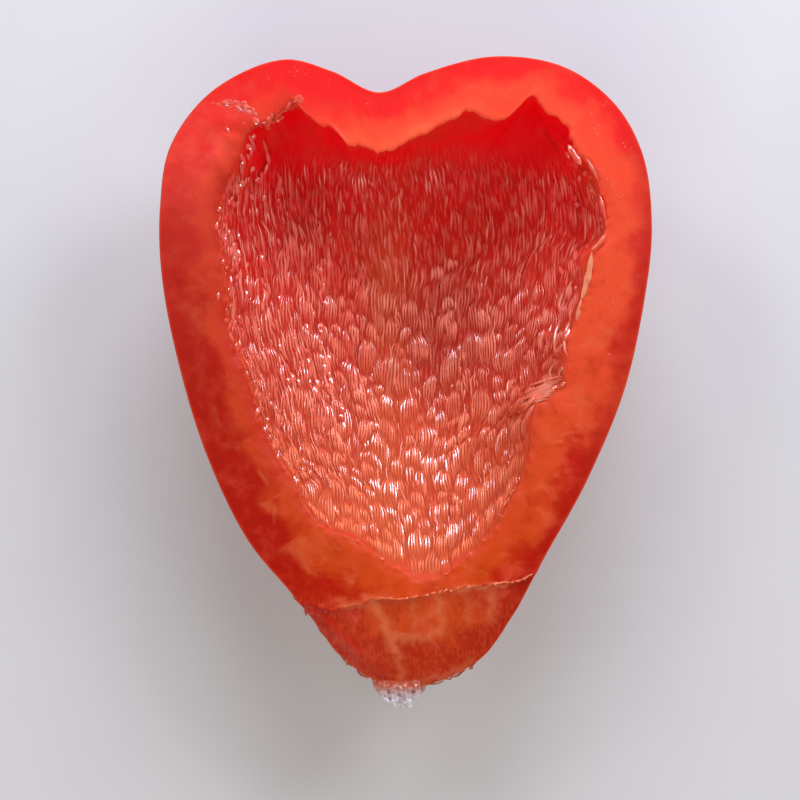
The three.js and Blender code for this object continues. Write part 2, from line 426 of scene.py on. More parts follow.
mounds = []
mound = np.zeros((ALONG, ACROSS))
owner = np.full((ALONG, ACROSS), -1)
for row in range(int(run_along[-1] / ROW_PITCH) + 1):
    v_row = np.interp((row + 0.3) * ROW_PITCH, run_along, np.arange(ALONG))
    run = run_across[int(v_row)]
    pitch = MOUND_WIDTH * np.interp(row * ROW_PITCH, [0, 18], [0.72, 1.0])
    for cell in range(int(run[-1] / pitch) + 1):
        shift_x, shift_y = mound_dice.uniform(-0.42, 0.42), mound_dice.uniform(-0.75, 0.75)
        big, tall, skew, wet = mound_dice.uniform(0, 1, 4)
        u0 = np.interp((cell + 0.31 * row % 1 + shift_x) * pitch, run, np.arange(ACROSS))
        v0 = v_row + shift_y * ROW_PITCH / step_v[min(int(v_row), ALONG - 2), int(u0)]
        v0 = np.clip(v0, 1, ALONG - 3)
        u0 = np.clip(u0, 1, ACROSS - 3)
        across_step = step_u[int(v0), int(u0)]
        along_step = step_v[int(v0), int(u0)]
        y = at_grid(plan, u0, v0)[1]
        calm = 1 - 0.72 * ease(6, 28, y)
        width = pitch * (0.85 + 0.75 * big**2)
        length = MOUND_LENGTH * (0.65 + 0.6 * big)
        on_left = ease(-13, -19, at_grid(plan, u0, v0)[0]) * ease(-12, -2, y)
        height = MOUND_HEIGHT * (0.25 + 0.75 * tall) * calm * (0.8 + 0.3 * big)
        height *= 1 - 0.4 * on_left
        upright = at_grid(plan, u0, v0 + 1) - at_grid(plan, u0, v0)
        skew = 0.6 * (skew - 0.5) - 0.65 * upright[0] / upright[1] * length / width
        b = (grid_v - v0) * along_step / (length / 2)
        a = (grid_u - u0) * across_step / (width / 2) - skew * b
        inside = lens(b)
        dome = np.clip(1 - (a / np.maximum(inside, 0.05)) ** 2, 0, 1) ** 0.7
        nose = np.where(
            b < 0.25,
            np.clip((b + 1) / 1.25, 0, 1) ** 1.2,
            np.clip(1 - np.abs((b - 0.25) / 0.75) ** 1.6, 0, 1) ** 0.8,
        )
        rise = height * dome * nose
        owner = np.where(rise > mound, len(mounds), owner)
        mound = np.maximum(mound, rise)
        mounds.append((u0, v0, across_step, along_step, width, length, skew, y, wet))
mound *= blistered_wall
wall = wall + mound[..., None] * wall_normal

# Cut flesh rows: from the skin's edge to the hollow's edge, close together at both.
edge_turn = np.arctan2(edge_loop[:, 1] - FLOOR[1], edge_loop[:, 0] - FLOOR[0])
lip_reach = reach(edge_reach, edge_turn)
lip_xy = FLOOR + lip_reach[:, None] * np.stack([np.cos(edge_turn), np.sin(edge_turn)], axis=1)
band = np.linalg.norm(lip_xy - edge_loop[:, :2], axis=1)
near_skin = np.array([0, 0.03, 0.08, 0.16, 0.3, 0.55])
near_lip = np.array([2.4, 1.8, 1.3, 0.9, 0.6, 0.35, 0.18, 0.06, 0])
inward = (lip_xy - edge_loop[:, :2]) / band[:, None]
walk = np.linspace(0, 1, 300)[:, None] * band
walked = edge_loop[None, :, :2] + walk[..., None] * inward
past = beyond_trim(walked[..., 0], walked[..., 1])
trim_at = np.where(past[0] > 0, (past > 0).sum(axis=0) / 300 * band, past[0])
between = np.linspace(0, 1, 32)[1:-1]
middle_rows = np.empty((len(between), AROUND))
for column in range(AROUND):
    at = np.linspace(near_skin[-1], band[column] - near_lip[0], 300)
    crowd = 1 + 5 * np.exp(-(((at - trim_at[column]) / 0.45) ** 2))
    run = np.cumsum(crowd)
    middle_rows[:, column] = np.interp(between, (run - run[0]) / (run[-1] - run[0]), at)
into = np.vstack(
    [np.repeat(near_skin[:, None], AROUND, axis=1), middle_rows, band - near_lip[:, None]]
)
flesh_xy = edge_loop[:, :2] + (lip_xy - edge_loop[:, :2]) * (into / band)[..., None]
rest = np.clip(SKIN_EDGE - into, 0, SKIN_EDGE)
rounding = SKIN_EDGE - np.sqrt(SKIN_EDGE**2 - rest**2)
roll_depth, roll_width = edge_roll(edge_turn)
roll = roll_depth * np.clip(1 - (band - into) / roll_width, 0, 1) ** 2
flesh_z = cut_height(flesh_xy[..., 0], flesh_xy[..., 1]) - rounding - roll
flesh = np.concatenate([flesh_xy, flesh_z[..., None]], axis=-1)
flesh[0] = edge_loop

# Creases and veins of the cut: strokes of plan points with a width, a height and a tint. They are wet
# creases beside the hollow's edge, veins and folds in the second cut, and a pale lip where it starts,
# whose paleness is partly painted highlight; a tint above zero is pale, below zero a brighter red.
STROKES = [
    ([(28.2, 18.4), (27.7, 15.4), (27.3, 13.6), (26.6, 12.0)], 0.60, 0.40, 0.0),
    ([(-27.2, 37.8), (-26.0, 36.9), (-25.2, 36.6)], 0.70, 0.28, -0.2),
    ([(-29.4, 34.8), (-28.0, 33.2), (-27.6, 31.4)], 0.70, 0.28, -0.2),
    ([(-30.0, 39.4), (-27.6, 40.2), (-24.4, 39.6)], 1.20, 0.22, -0.3),
    ([(-5.2, -33.4), (-3.4, -36.0), (-2.4, -38.8), (-1.4, -41.4)], 0.80, 0.0, 0.50),
    ([(-2.2, -38.6), (0.6, -39.2), (3.2, -38.9), (5.4, -38.0)], 0.70, 0.0, 0.42),
    ([(1.0, -33.8), (1.4, -36.0), (1.5, -38.6)], 0.55, 0.0, 0.25),
    ([(5.0, -32.8), (5.4, -35.2), (5.8, -38.0)], 0.75, 0.0, 0.36),
    ([(13.0, -31.4), (13.2, -33.6), (13.0, -36.2)], 0.80, 0.0, 0.32),
    ([(9.2, -31.8), (9.8, -34.0), (9.6, -36.2)], 0.60, 0.0, 0.2),
    ([(-4.6, -33.6), (-7.2, -33.9), (-9.6, -33.8)], 0.55, 0.0, 0.35),
    # The pale lip where the second cut starts: partly painted highlight.
    ([(7.6, -31.6), (10.4, -31.2), (15.4, -30.7)], 0.28, 0.06, 0.6),
    ([(-14.2, -34.6), (-12.2, -36.0), (-9.2, -38.8), (-7.2, -41.4)], 0.40, 0.12, -0.5),
    ([(-1.4, -41.4), (-0.8, -43.6), (-0.4, -46.0)], 0.60, 0.08, 0.30),
    ([(3.0, -45.9), (6.8, -44.9), (10.4, -42.9)], 0.45, 0.06, 0.30),
]


def stroked(points):
    """Height and tint that the strokes add at plan points, a little wavy."""
    x, y = points[..., 0], points[..., 1]
    sway_x = 0.22 * np.sin(y * 2.3 + 0.4) + 0.10 * np.sin(y * 5.1 + x)
    sway_y = 0.22 * np.sin(x * 2.1 + 1.9) + 0.10 * np.sin(x * 4.7 - y)
    points = points + np.stack([sway_x, sway_y], axis=-1)
    height = np.zeros(points.shape[:-1])
    tint = np.zeros(points.shape[:-1])
    for line, width, rise, shade in STROKES:
        nearest = np.full(height.shape, 1e3)
        for a, b in zip(line, line[1:]):
            a, b = np.array(a), np.array(b)
            t = np.clip(((points - a) @ (b - a)) / ((b - a) @ (b - a)), 0, 1)
            gap = np.linalg.norm(points - a - t[..., None] * (b - a), axis=-1)
            nearest = np.minimum(nearest, gap)
        mark = np.exp(-((nearest / width) ** 2))
        height = np.maximum(height, rise * mark)
        tint = np.where(np.abs(shade * mark) > np.abs(tint), shade * mark, tint)
    return height, tint


flesh_raise, flesh_tint = stroked(flesh[..., :2])
flesh_raise *= ease(0, 0.6, into)
from_lip = band - into
swollen = 0.5 + 0.5 * np.interp(edge_turn % (2 * math.pi), ANGLES, rough(110, dice))
flesh_raise += 0.22 * edge_roll_lip(edge_turn) * swollen * np.exp(-(((from_lip - 0.7) / 0.6) ** 2))
flesh[..., 2] = np.minimum(flesh[..., 2] + flesh_raise, DEPTH - 0.02)
wall_raise = stroked(wall[..., :2])[0]
wall[..., 2] = np.minimum(wall[..., 2] + wall_raise, DEPTH - 0.1)

# Skin rows below the edge: three at full count, then every second line down to the patch.
upper = [skin_point(rims, top_share - drop) for drop in (0.004, 0.012)]
coarse_rims, coarse_top = rims[::2], top_share[::2]
levels = 1 - (np.arange(1, 41) / 40) ** 1.25
lower = [skin_point(coarse_rims, (coarse_top - 0.024) * level) for level in levels[:-1]]
lower.insert(0, skin_point(coarse_rims, coarse_top - 0.024))
lower.append(skin_point(coarse_rims, np.zeros(AROUND // 2)))

# One closed mesh out of these rows.
points, faces, zones = [], [], []
SKIN, FLESH, WALL = 0, 1, 2


def add_points(rows):
    """Adds rows of points and returns their numbers in the same rows."""
    first = sum(len(p) for p in points)
    rows = np.asarray(rows)
    points.append(rows.reshape(-1, 3))
    return np.arange(first, first + rows.size // 3).reshape(rows.shape[:-1])


def add_faces(found, zone):
    """Adds faces that belong to one zone of the cheek."""
    faces.extend(tuple(int(i) for i in face) for face in found)
    zones.extend([zone] * len(found))


def ring_faces(outer, inner):
    """Quads between two closed rows, the outer one first, facing up."""
    return np.stack([outer, np.roll(outer, -1), np.roll(inner, -1), inner], axis=1)


def zip_rows(outer, outer_turn, inner, inner_turn):
    """Triangles that join two closed rows of unequal count, facing up."""
    n, m, i, j = len(outer), len(inner), 0, 0
    found = []
    while i < n or j < m:
        next_outer = outer_turn[(i + 1) % n] + (i + 1) // n
        next_inner = inner_turn[(j + 1) % m] + (j + 1) // m
        if j >= m or (i < n and next_outer <= next_inner):
            found.append((outer[i % n], outer[(i + 1) % n], inner[j % m]))
            i += 1
        else:
            found.append((outer[i % n], inner[(j + 1) % m], inner[j % m]))
            j += 1
    return found


def turns(row_points):
    """Each point's share of a turn about the hollow's floor."""
    angle = np.arctan2(row_points[:, 1] - FLOOR[1], row_points[:, 0] - FLOOR[0])
    return (angle / (2 * math.pi)) % 1


flesh_rows = add_points(flesh)
for outer, inner in zip(flesh_rows, flesh_rows[1:]):
    add_faces(ring_faces(outer, inner), FLESH)

wall_rows = add_points(wall)
quads = np.stack(
    [wall_rows[:-1, :-1], wall_rows[:-1, 1:], wall_rows[1:, 1:], wall_rows[1:, :-1]], axis=-1
)
add_faces(quads.reshape(-1, 4), WALL)
border = np.concatenate(
    [wall_rows[0, :-1], wall_rows[:-1, -1], wall_rows[-1, :0:-1], wall_rows[:0:-1, 0]]
)
placed = np.vstack(points)
border_turn = turns(placed[border])
border = np.roll(border, -int(np.argmin(border_turn)))
lip_row = flesh_rows[-1]
add_faces(zip_rows(lip_row, turns(placed[lip_row]), border, turns(placed[border])), WALL)

upper_rows = add_points(upper)
lower_rows = add_points(lower)
chain = [flesh_rows[0], *upper_rows]
for outer, inner in zip(chain, chain[1:]):
    add_faces(ring_faces(outer, inner)[:, ::-1], SKIN)
last_full, first_half = upper_rows[-1], lower_rows[0]
for k in range(AROUND // 2):
    a, b, c = last_full[2 * k], last_full[2 * k + 1], last_full[(2 * k + 2) % AROUND]
    d, e = first_half[k], first_half[(k + 1) % (AROUND // 2)]
    add_faces([(a, d, b), (b, d, e), (b, e, c)], SKIN)
for outer, inner in zip(lower_rows, lower_rows[1:]):
    add_faces(ring_faces(outer, inner)[:, ::-1], SKIN)
patch_centre = add_points([[BELLY[0], BELLY[1], 0.0]])[0]
ring = lower_rows[-1]
add_faces([(patch_centre, a, b) for a, b in zip(np.roll(ring, -1), ring)], SKIN)

cheek_mesh = bpy.data.meshes.new("pepper_cheek_form")
all_points = np.vstack(points)
cheek_mesh.from_pydata((all_points * MM).tolist(), [], faces)
cheek_mesh.polygons.foreach_set("use_smooth", [True] * len(faces))

# What the materials and the relief need to know about each point: its place in the wall's
# streaks, how far it lies from the hollow's edge and from the skin, the tint of creases and
# veins, how blistered the lining is, how high it stands, and how beaded it is.
count = len(all_points)
lay = np.zeros((count, 3))
lay[wall_rows] = np.stack([lay_x, lay_y, np.zeros_like(lay_x)], axis=-1)
band_turn = np.arctan2(flesh_xy[..., 1] - FLOOR[1], flesh_xy[..., 0] - FLOOR[0])
lay[flesh_rows] = np.stack([10 * np.cos(band_turn), 10 * np.sin(band_turn), into], axis=-1)
edge_gap = np.zeros(count)
edge_gap[flesh_rows] = -from_lip
skin_gap = np.full(count, 12.0)
skin_gap[flesh_rows] = into
skin_gap[upper_rows] = -0.3
skin_gap[lower_rows] = -1.0
tint = np.zeros(count)
tint[flesh_rows] = flesh_tint
blistered = np.zeros(count)
blistered[wall_rows] = blistered_wall
crest = np.zeros(count)
crest[wall_rows] = mound / MOUND_HEIGHT
off_lip = 1 - edge_roll_lip(edge_turn)
beaded = np.zeros(count)
beaded[flesh_rows] = off_lip * np.exp(-((from_lip / 0.9) ** 2))
beaded[wall_rows] = np.exp(-((wall_gap / 1.3) ** 2)) * (1 - under_lip)

damp = np.zeros(count)  # where drops of juice stand: round five spots of the cut
for spot_x, spot_y, across_mm, share in (
    (14, 47, 7, 0.7), (31, 33, 9, 1.0), (34.5, 14, 8, 0.5), (-12, 46, 8, 0.5), (-27, 43, 5, 0.4)
):
    gap = np.hypot(flesh_xy[..., 0] - spot_x, flesh_xy[..., 1] - spot_y)
    damp[flesh_rows] = np.maximum(damp[flesh_rows], share * np.exp(-((gap / across_mm) ** 2)))
damp[flesh_rows] *= ease(0.6, 1.4, into) * ease(0.3, 1.0, from_lip)

for name, kind, values in (
    ("lay", "FLOAT_VECTOR", lay),
    ("edge_gap", "FLOAT", edge_gap),
    ("skin_gap", "FLOAT", skin_gap),
    ("tint", "FLOAT", tint),
    ("blistered", "FLOAT", blistered),
    ("beaded", "FLOAT", beaded),
    ("crest", "FLOAT", crest),
    ("damp", "FLOAT", damp),
):
    layer = cheek_mesh.attributes.new(name, kind, "POINT")
    field = "vector" if kind == "FLOAT_VECTOR" else "value"
    layer.data.foreach_set(field, np.asarray(values, dtype=np.float32).ravel())
zone_layer = cheek_mesh.attributes.new("zone", "INT", "FACE")
zone_layer.data.foreach_set("value", np.array(zones, dtype=np.int32))


# Inner wall ------------------------------------------------------------------------------
# The lining of the seed hollow: a wet skin over swollen cells, crimson under the shoulders and
# orange-red towards the tip. The crimson under the lip is brighter than its own red, a painted glow
# for light that shines through the lip into its shadow, and the gaps between the cells are darkened
# to a deeper red as painted shade.

def set_stops(ramp, colours):
    """Fills a colour ramp from positions and hex colours, in their order."""
    stops = ramp.color_ramp.elements
    for stop, (position, colour) in zip(stops, (colours[0], colours[-1])):
        stop.position, stop.color = position, linear(colour)
    for position, colour in colours[1:-1]:
        stops.new(position).color = linear(colour)


def lining_red(tree, place, up):
    """The lining's red by its place, with a browner spine, a darker bruise, and a top crimson painted
    brighter as a glow through the lip.
    """
    red = add(tree, "ShaderNodeValToRGB", {0: up})
    # The last stops are a painted glow: brighter than the lining's own crimson, for light through the
    # lip.
    set_stops(red, [
        (0.0, "#de562c"), (0.22, "#d8502a"), (0.40, "#d2402a"), (0.58, "#d82e20"),
        (0.72, "#dc1e1a"), (0.82, "#ea0814"), (1.0, "#fa0012"),
    ])
    wander = add(tree, "ShaderNodeTexNoise", {"Vector": place, "Scale": 110.0, "Detail": 3.0})
    cloudy = add(tree, "ShaderNodeMapRange", {0: wander, 1: 0.45, 2: 0.7, 3: 0.0, 4: 0.35})
    x, y = add(tree, "ShaderNodeSeparateXYZ", {0: place}).outputs[:2]
    spine = add(tree, "ShaderNodeMath", {0: x, 1: 0.0028}, operation="ADD")
    spine = add(tree, "ShaderNodeMath", {0: spine}, operation="ABSOLUTE")
    spine = add(tree, "ShaderNodeMapRange", {0: spine, 1: 0.0008, 2: 0.0050, 3: 0.5, 4: 0.0})
    low_spine = add(tree, "ShaderNodeMapRange", {0: y, 1: 0.018, 2: 0.032, 3: 1.0, 4: 0.0})
    spine = add(tree, "ShaderNodeMath", {0: spine, 1: low_spine}, operation="MULTIPLY")
    centre = (0.0075, 0.0090, 0.0075)
    away = add(tree, "ShaderNodeVectorMath", {0: place, 1: centre}, operation="DISTANCE")
    away = away.outputs["Value"]
    bruise = add(tree, "ShaderNodeMapRange", {0: away, 1: 0.004, 2: 0.017, 3: 0.45, 4: 0.0})
    for share, colour in ((cloudy, "#c8452c"), (spine, "#d85c30"), (bruise, "#8c2016")):
        layer = {0: share, 6: red, 7: linear(colour)}
        red = add(tree, "ShaderNodeMix", layer, data_type="RGBA").outputs[2]
    return red


# Soaked and soft: a dull sheen over red that light sinks into, pale salmon streaks along the cells
# that are partly their own colour and partly a painted sheen, and beads of juice along the edge, each
# with its own glint.
wall_look, tree = new_material("wet_blistered_lining")
place = add(tree, "ShaderNodeTexCoord").outputs["Object"]
y = add(tree, "ShaderNodeSeparateXYZ", {0: place}).outputs[1]
up = add(tree, "ShaderNodeMapRange", {0: y, 1: -0.030, 2: 0.045})
mask_at, crest_at, border_at = (
    add(tree, "ShaderNodeAttribute", attribute_name=name).outputs["Fac"]
    for name in ("blistered", "crest", "beaded")
)
lay_at = add(tree, "ShaderNodeAttribute", attribute_name="lay").outputs["Vector"]
# Painted shade: the lining turns a deeper red where it lies low between the mounds.
gap = add(tree, "ShaderNodeMapRange", {0: crest_at, 1: 0.0, 2: 0.30, 3: 0.28, 4: 0.0})
gap = add(tree, "ShaderNodeMath", {0: gap, 1: mask_at}, operation="MULTIPLY")
stretch = add(tree, "ShaderNodeVectorMath", {0: lay_at, 1: (2.6, 0.4, 0)}, operation="MULTIPLY")
strand = add(tree, "ShaderNodeTexNoise", {"Vector": stretch, "Scale": 1.0, "Detail": 3.0})
streak = add(tree, "ShaderNodeMapRange", {0: strand, 1: 0.48, 2: 0.68, 3: 0.0, 4: 0.5})
streak = add(tree, "ShaderNodeMath", {0: streak, 1: mask_at}, operation="MULTIPLY")
# The streaks' salmon is partly the cells' own paler skin and partly painted sheen.
salmon_and_sheen = {0: up, 6: linear("#ff8e58"), 7: linear("#ea7a68")}
salmon_and_sheen = add(tree, "ShaderNodeMix", salmon_and_sheen, data_type="RGBA").outputs[2]
border = add(tree, "ShaderNodeMath", {0: border_at, 1: 0.45}, operation="POWER")
patchy = add(tree, "ShaderNodeTexNoise", {"Vector": place, "Scale": 140.0, "Detail": 3.0})
patchy = add(tree, "ShaderNodeMapRange", {0: patchy, 1: 0.35, 2: 0.6, 3: 0.45, 4: 1.0})
border = add(tree, "ShaderNodeMath", {0: border, 1: patchy}, operation="MULTIPLY")
base = lining_red(tree, place, up)
for share, colour in ((gap, linear("#a80c06")), (streak, salmon_and_sheen), (border, linear("#e24e28"))):
    layer = {0: share, 6: base, 7: colour}
    base = add(tree, "ShaderNodeMix", layer, data_type="RGBA").outputs[2]
fine = add(tree, "ShaderNodeMath", {0: strand, 1: mask_at}, operation="MULTIPLY")
bump = add(tree, "ShaderNodeBump", {"Height": fine, "Distance": 0.00015, "Strength": 1.0})
wet = add(tree, "ShaderNodeMix", {0: mask_at, 2: 0.65, 3: 0.5})
bead = add(tree, "ShaderNodeTexVoronoi", {"Vector": place, "Scale": 800.0, "Randomness": 0.9})
bead = add(tree, "ShaderNodeMapRange", {0: bead, 1: 0.1, 2: 0.45, 3: 1.0, 4: 0.0})
bead = add(tree, "ShaderNodeMath", {0: bead, 1: border_at}, operation="MULTIPLY")
lining = add(tree, "ShaderNodeBsdfPrincipled", {
    "Base Color": base,
    "Roughness": wet,
    "IOR": 1.33,
    "Specular IOR Level": 0.15,
    "Normal": bump,
    "Subsurface Weight": 0.6,
    "Subsurface Radius": (1.0, 0.12, 0.06),
    "Subsurface Scale": 0.004,
    "Coat Weight": bead,
    "Coat Roughness": 0.09,
    "Coat IOR": 1.6,
    "Coat Normal": bump,
})
add(tree, "ShaderNodeOutputMaterial", {"Surface": lining})


# Cut flesh -------------------------------------------------------------------------------
# Juicy wall of the fruit where the knife went through: deep red next to the skin, oranger
# towards the hollow, with pale strands of veins between the two and a fine wet grain. The
# grain is drawn about twice as coarse as the real cells.

# Moist and smooth from the knife: a soft sheen, with red that glows a little from inside.
flesh_look, tree = new_material("knife_cut_flesh")
place = add(tree, "ShaderNodeTexCoord").outputs["Object"]
x, y = add(tree, "ShaderNodeSeparateXYZ", {0: place}).outputs[:2]
skin_at, edge_at, tint_at = (
    add(tree, "ShaderNodeAttribute", attribute_name=name).outputs["Fac"]
    for name in ("skin_gap", "edge_gap", "tint")
)
up = add(tree, "ShaderNodeMapRange", {0: y, 1: -0.047, 2: 0.050})

# From the skin to the hollow one red runs into another, both brighter towards the shoulders, and the
# darker outer red reaches further in on the left: partly the fruit's own colour, partly painted light
# and shade for the light that falls from past the shoulders and the right.
outer = add(tree, "ShaderNodeValToRGB", {0: up})
set_stops(outer, [
    (0.0, "#ba300a"), (0.2, "#b81a06"), (0.5, "#be2414"), (0.75, "#d83628"),
    (0.88, "#ee2824"), (1.0, "#f42a28"),
])
inner = add(tree, "ShaderNodeValToRGB", {0: up})
set_stops(inner, [
    (0.0, "#da4a14"), (0.2, "#cc4412"), (0.45, "#d84a22"), (0.7, "#e8502e"),
    (0.88, "#f44a30"), (1.0, "#fc4a32"),
])
full = add(tree, "ShaderNodeMath", {0: skin_at, 1: edge_at}, operation="SUBTRACT")
way_in = add(tree, "ShaderNodeMath", {0: skin_at, 1: full}, operation="DIVIDE")
drift = add(tree, "ShaderNodeTexNoise", {"Vector": place, "Scale": 170.0, "Detail": 4.0})
blend = add(tree, "ShaderNodeMath", {0: drift, 1: 1.3, 2: -0.65}, operation="MULTIPLY_ADD")
blend = add(tree, "ShaderNodeMath", {0: blend, 1: way_in}, operation="ADD")
blend = add(tree, "ShaderNodeMath", {0: x, 1: 6.0, 2: blend}, operation="MULTIPLY_ADD")
blend = add(tree, "ShaderNodeMapRange", {0: blend, 1: 0.30, 2: 0.72}, interpolation_type="SMOOTHSTEP")
base = add(tree, "ShaderNodeMix", {0: blend, 6: outer, 7: inner}, data_type="RGBA").outputs[2]

# Clouds and veins of the flesh, fibres drawn out by the second cut, and three patches.
cloud = {"Vector": place, "Scale": 300.0, "Detail": 5.0, "Roughness": 0.6}
cloud = add(tree, "ShaderNodeTexNoise", cloud)
wisp = {"Vector": place, "Scale": 280.0, "Detail": 2.0, "Roughness": 0.5, "Distortion": 0.8}
wisp = add(tree, "ShaderNodeTexNoise", wisp)
veins = add(tree, "ShaderNodeMapRange", {0: wisp, 1: 0.50, 2: 0.72}, interpolation_type="SMOOTHSTEP")
middle = add(tree, "ShaderNodeMath", {0: way_in, 1: 0.58}, operation="SUBTRACT")
middle = add(tree, "ShaderNodeMath", {0: middle}, operation="ABSOLUTE")
beside = add(tree, "ShaderNodeMath", {0: x, 1: 0.001}, operation="ADD")
beside = add(tree, "ShaderNodeMath", {0: beside}, operation="ABSOLUTE")
fibre = add(tree, "ShaderNodeMapping", {"Vector": place, "Scale": (1.0, 0.3, 1.0)})
fibre = add(tree, "ShaderNodeTexNoise", {"Vector": fibre, "Scale": 2400.0, "Detail": 2.0})
from_right, from_shoulder, from_lobe = (
    add(tree, "ShaderNodeVectorMath", {0: place, 1: centre}, operation="DISTANCE").outputs["Value"]
    for centre in ((0.034, -0.003, 0.024), (-0.033, 0.036, 0.024), (-0.015, 0.045, 0.024))
)
marks = {
    "veins": veins,
    "pale": add(tree, "ShaderNodeMath", {0: tint_at, 1: 0.0}, operation="MAXIMUM"),
    "glow": add(tree, "ShaderNodeMath", {0: tint_at, 1: -1.0}, operation="MULTIPLY", use_clamp=True),
}

# Each of the other marks goes from a first strength to a last one as its driver goes from
# start to end: metres for a place, millimetres for the gap to the skin or the hollow.
for name, driver, start, end, first, last in (
    ("cloudy", cloud, 0.50, 0.74, 0.0, 0.45),
    ("ragged", cloud, 0.38, 0.58, 0.45, 1.15),
    ("deep", cloud, 0.28, 0.46, 0.45, 0.0),
    ("off the lip", y, 0.015, 0.032, 1.0, 0.1),
    ("half way in", middle, 0.12, 0.45, 1.0, 0.0),
    ("lower half", y, -0.010, 0.030, 0.55, 0.12),
    ("rim", edge_at, -3.2, -0.5, 0.0, 0.55),
    ("at the lip", y, 0.031, 0.038, 0.0, 1.0),
    ("near the middle", beside, 0.005, 0.015, 1.0, 0.25),
    ("warm patch", from_right, 0.004, 0.012, 0.5, 0.0),
    # Painted shade: darker towards the left of the cut, as if less light fell there, and less of it
    # towards the lip.
    ("shade", x, -0.034, -0.006, 0.36, 0.0),
    ("below the lip", y, 0.026, 0.036, 1.0, 0.35),
    ("under the skin", skin_at, 0.3, 3.2, 0.30, 0.0),
    ("right of the left edge", x, -0.028, -0.012, 0.1, 1.0),
    ("below the top", y, 0.034, 0.042, 1.0, 0.35),
    ("pink patch", from_shoulder, 0.003, 0.013, 0.4, 0.0),
    ("crimson patch", from_lobe, 0.003, 0.010, 0.6, 0.0),
    ("seam", edge_at, -3.4, 0.0, 0.0, 0.85),
    ("on the left", x, -0.020, -0.012, 1.0, 0.0),
    ("above the tip", y, -0.022, -0.008, 0.0, 1.0),
    ("peel", skin_at, 0.1, 0.4, 0.7, 0.0),
    ("fibres", fibre, 0.45, 0.70, 0.0, 0.26),
    ("on the second cut", y, -0.031, -0.034, 0.0, 1.0),
):
    strength = {0: driver, 1: start, 2: end, 3: first, 4: last}
    marks[name] = add(tree, "ShaderNodeMapRange", strength)

# The colours are laid over one another, each where all of its marks meet.
for colour, *names in (
    ("#e8583c", "cloudy"),
    ("#a0160c", "deep", "off the lip"),
    ("#e06a3c", "veins", "half way in", "lower half"),
    ("#ff6e42", "rim", "at the lip", "near the middle", "ragged"),
    ("#e0502c", "warm patch", "ragged"),
    # Painted shade on the left of the cut.
    ("#7c0c04", "shade", "below the lip"),
    ("#8a1206", "under the skin", "right of the left edge", "below the top"),
    ("#ee5a48", "pink patch", "ragged"),
    ("#f02226", "crimson patch"),
    ("#be2c18", "seam", "on the left", "above the tip", "ragged"),
    ("#c8462a", "peel"),
    ("#e4662e", "fibres", "on the second cut"),
    ("#e88450", "pale"),
    ("#d8281c", "glow"),
):
    share, *limits = (marks[name] for name in names)
    for limit in limits:
        share = add(tree, "ShaderNodeMath", {0: share, 1: limit}, operation="MULTIPLY")
    layer = {0: share, 6: base, 7: linear(colour)}
    base = add(tree, "ShaderNodeMix", layer, data_type="RGBA").outputs[2]

grain = {"Vector": place, "Scale": 2600.0, "Detail": 2.0, "Roughness": 0.6}
grain = add(tree, "ShaderNodeTexNoise", grain)
bump = add(tree, "ShaderNodeBump", {"Height": grain, "Distance": 0.00006, "Strength": 0.6})
cut = add(tree, "ShaderNodeBsdfPrincipled", {
    "Base Color": base,
    "Roughness": 0.44,
    "IOR": 1.33,
    "Specular IOR Level": 0.15,
    "Normal": bump,
    "Subsurface Weight": 0.35,
    "Subsurface Radius": (1.0, 0.2, 0.1),
    "Subsurface Scale": 0.0020,
    "Coat Weight": 0.05,
    "Coat Roughness": 0.14,
    "Coat IOR": 1.4,
    "Coat Normal": bump,
})
add(tree, "ShaderNodeOutputMaterial", {"Surface": cut})


# Skin ------------------------------------------------------------------------------------
# Waxy, glossy outer skin of a ripe fruit, deep even red with faint streaks along the fruit
# and pinhead lenticels.

# Taut wax: sharp, narrow highlights over a red that hardly changes.
skin_look, tree = new_material("waxy_red_skin")
place = add(tree, "ShaderNodeTexCoord").outputs["Object"]
stretch = add(tree, "ShaderNodeMapping", {"Vector": place, "Scale": (1, 0.3, 1)})
streak = add(tree, "ShaderNodeTexNoise", {"Vector": stretch, "Scale": 240.0, "Detail": 4.0})
dots = add(tree, "ShaderNodeTexVoronoi", {"Vector": place, "Scale": 520.0})
dot = add(tree, "ShaderNodeMapRange", {0: dots, 1: 0.08, 2: 0.2, 3: 0.3, 4: 0.0})
base = linear("#8c0a06")
for share, colour in ((streak, "#b6160c"), (dot, "#d8432c")):
    layer = {0: share, 6: base, 7: linear(colour)}
    base = add(tree, "ShaderNodeMix", layer, data_type="RGBA").outputs[2]
fine = add(tree, "ShaderNodeTexNoise", {"Vector": place, "Scale": 900.0})
bump = add(tree, "ShaderNodeBump", {"Height": fine, "Distance": 0.00004, "Strength": 0.4})
skin = add(tree, "ShaderNodeBsdfPrincipled", {
    "Base Color": base,
    "Roughness": 0.35,
    "IOR": 1.45,
    "Specular IOR Level": 0.25,
    "Normal": bump,
    "Subsurface Weight": 0.1,
    "Subsurface Radius": (1.0, 0.2, 0.1),
    "Subsurface Scale": 0.001,
    "Coat Weight": 0.4,
    "Coat Roughness": 0.06,
})
add(tree, "ShaderNodeOutputMaterial", {"Surface": skin})


# The cheek's relief ----------------------------------------------------------------------
# Small wet beads where the lining meets the cut, and the soft unevenness of flesh and skin,
# are raised on the form, and each zone takes its material.

def new_geometry(name, inputs):
    """A geometry tree that changes one mesh, with its named inputs."""
    tree = bpy.data.node_groups.new(name, "GeometryNodeTree")
    tree.is_modifier = True
    tree.interface.new_socket("Geometry", in_out="OUTPUT", socket_type="NodeSocketGeometry")
    tree.interface.new_socket("Geometry", in_out="INPUT", socket_type="NodeSocketGeometry")
    for label, kind, value in inputs:
        socket = tree.interface.new_socket(label, in_out="INPUT", socket_type="NodeSocket" + kind)
        if value is not None:
            socket.default_value = value
    return tree


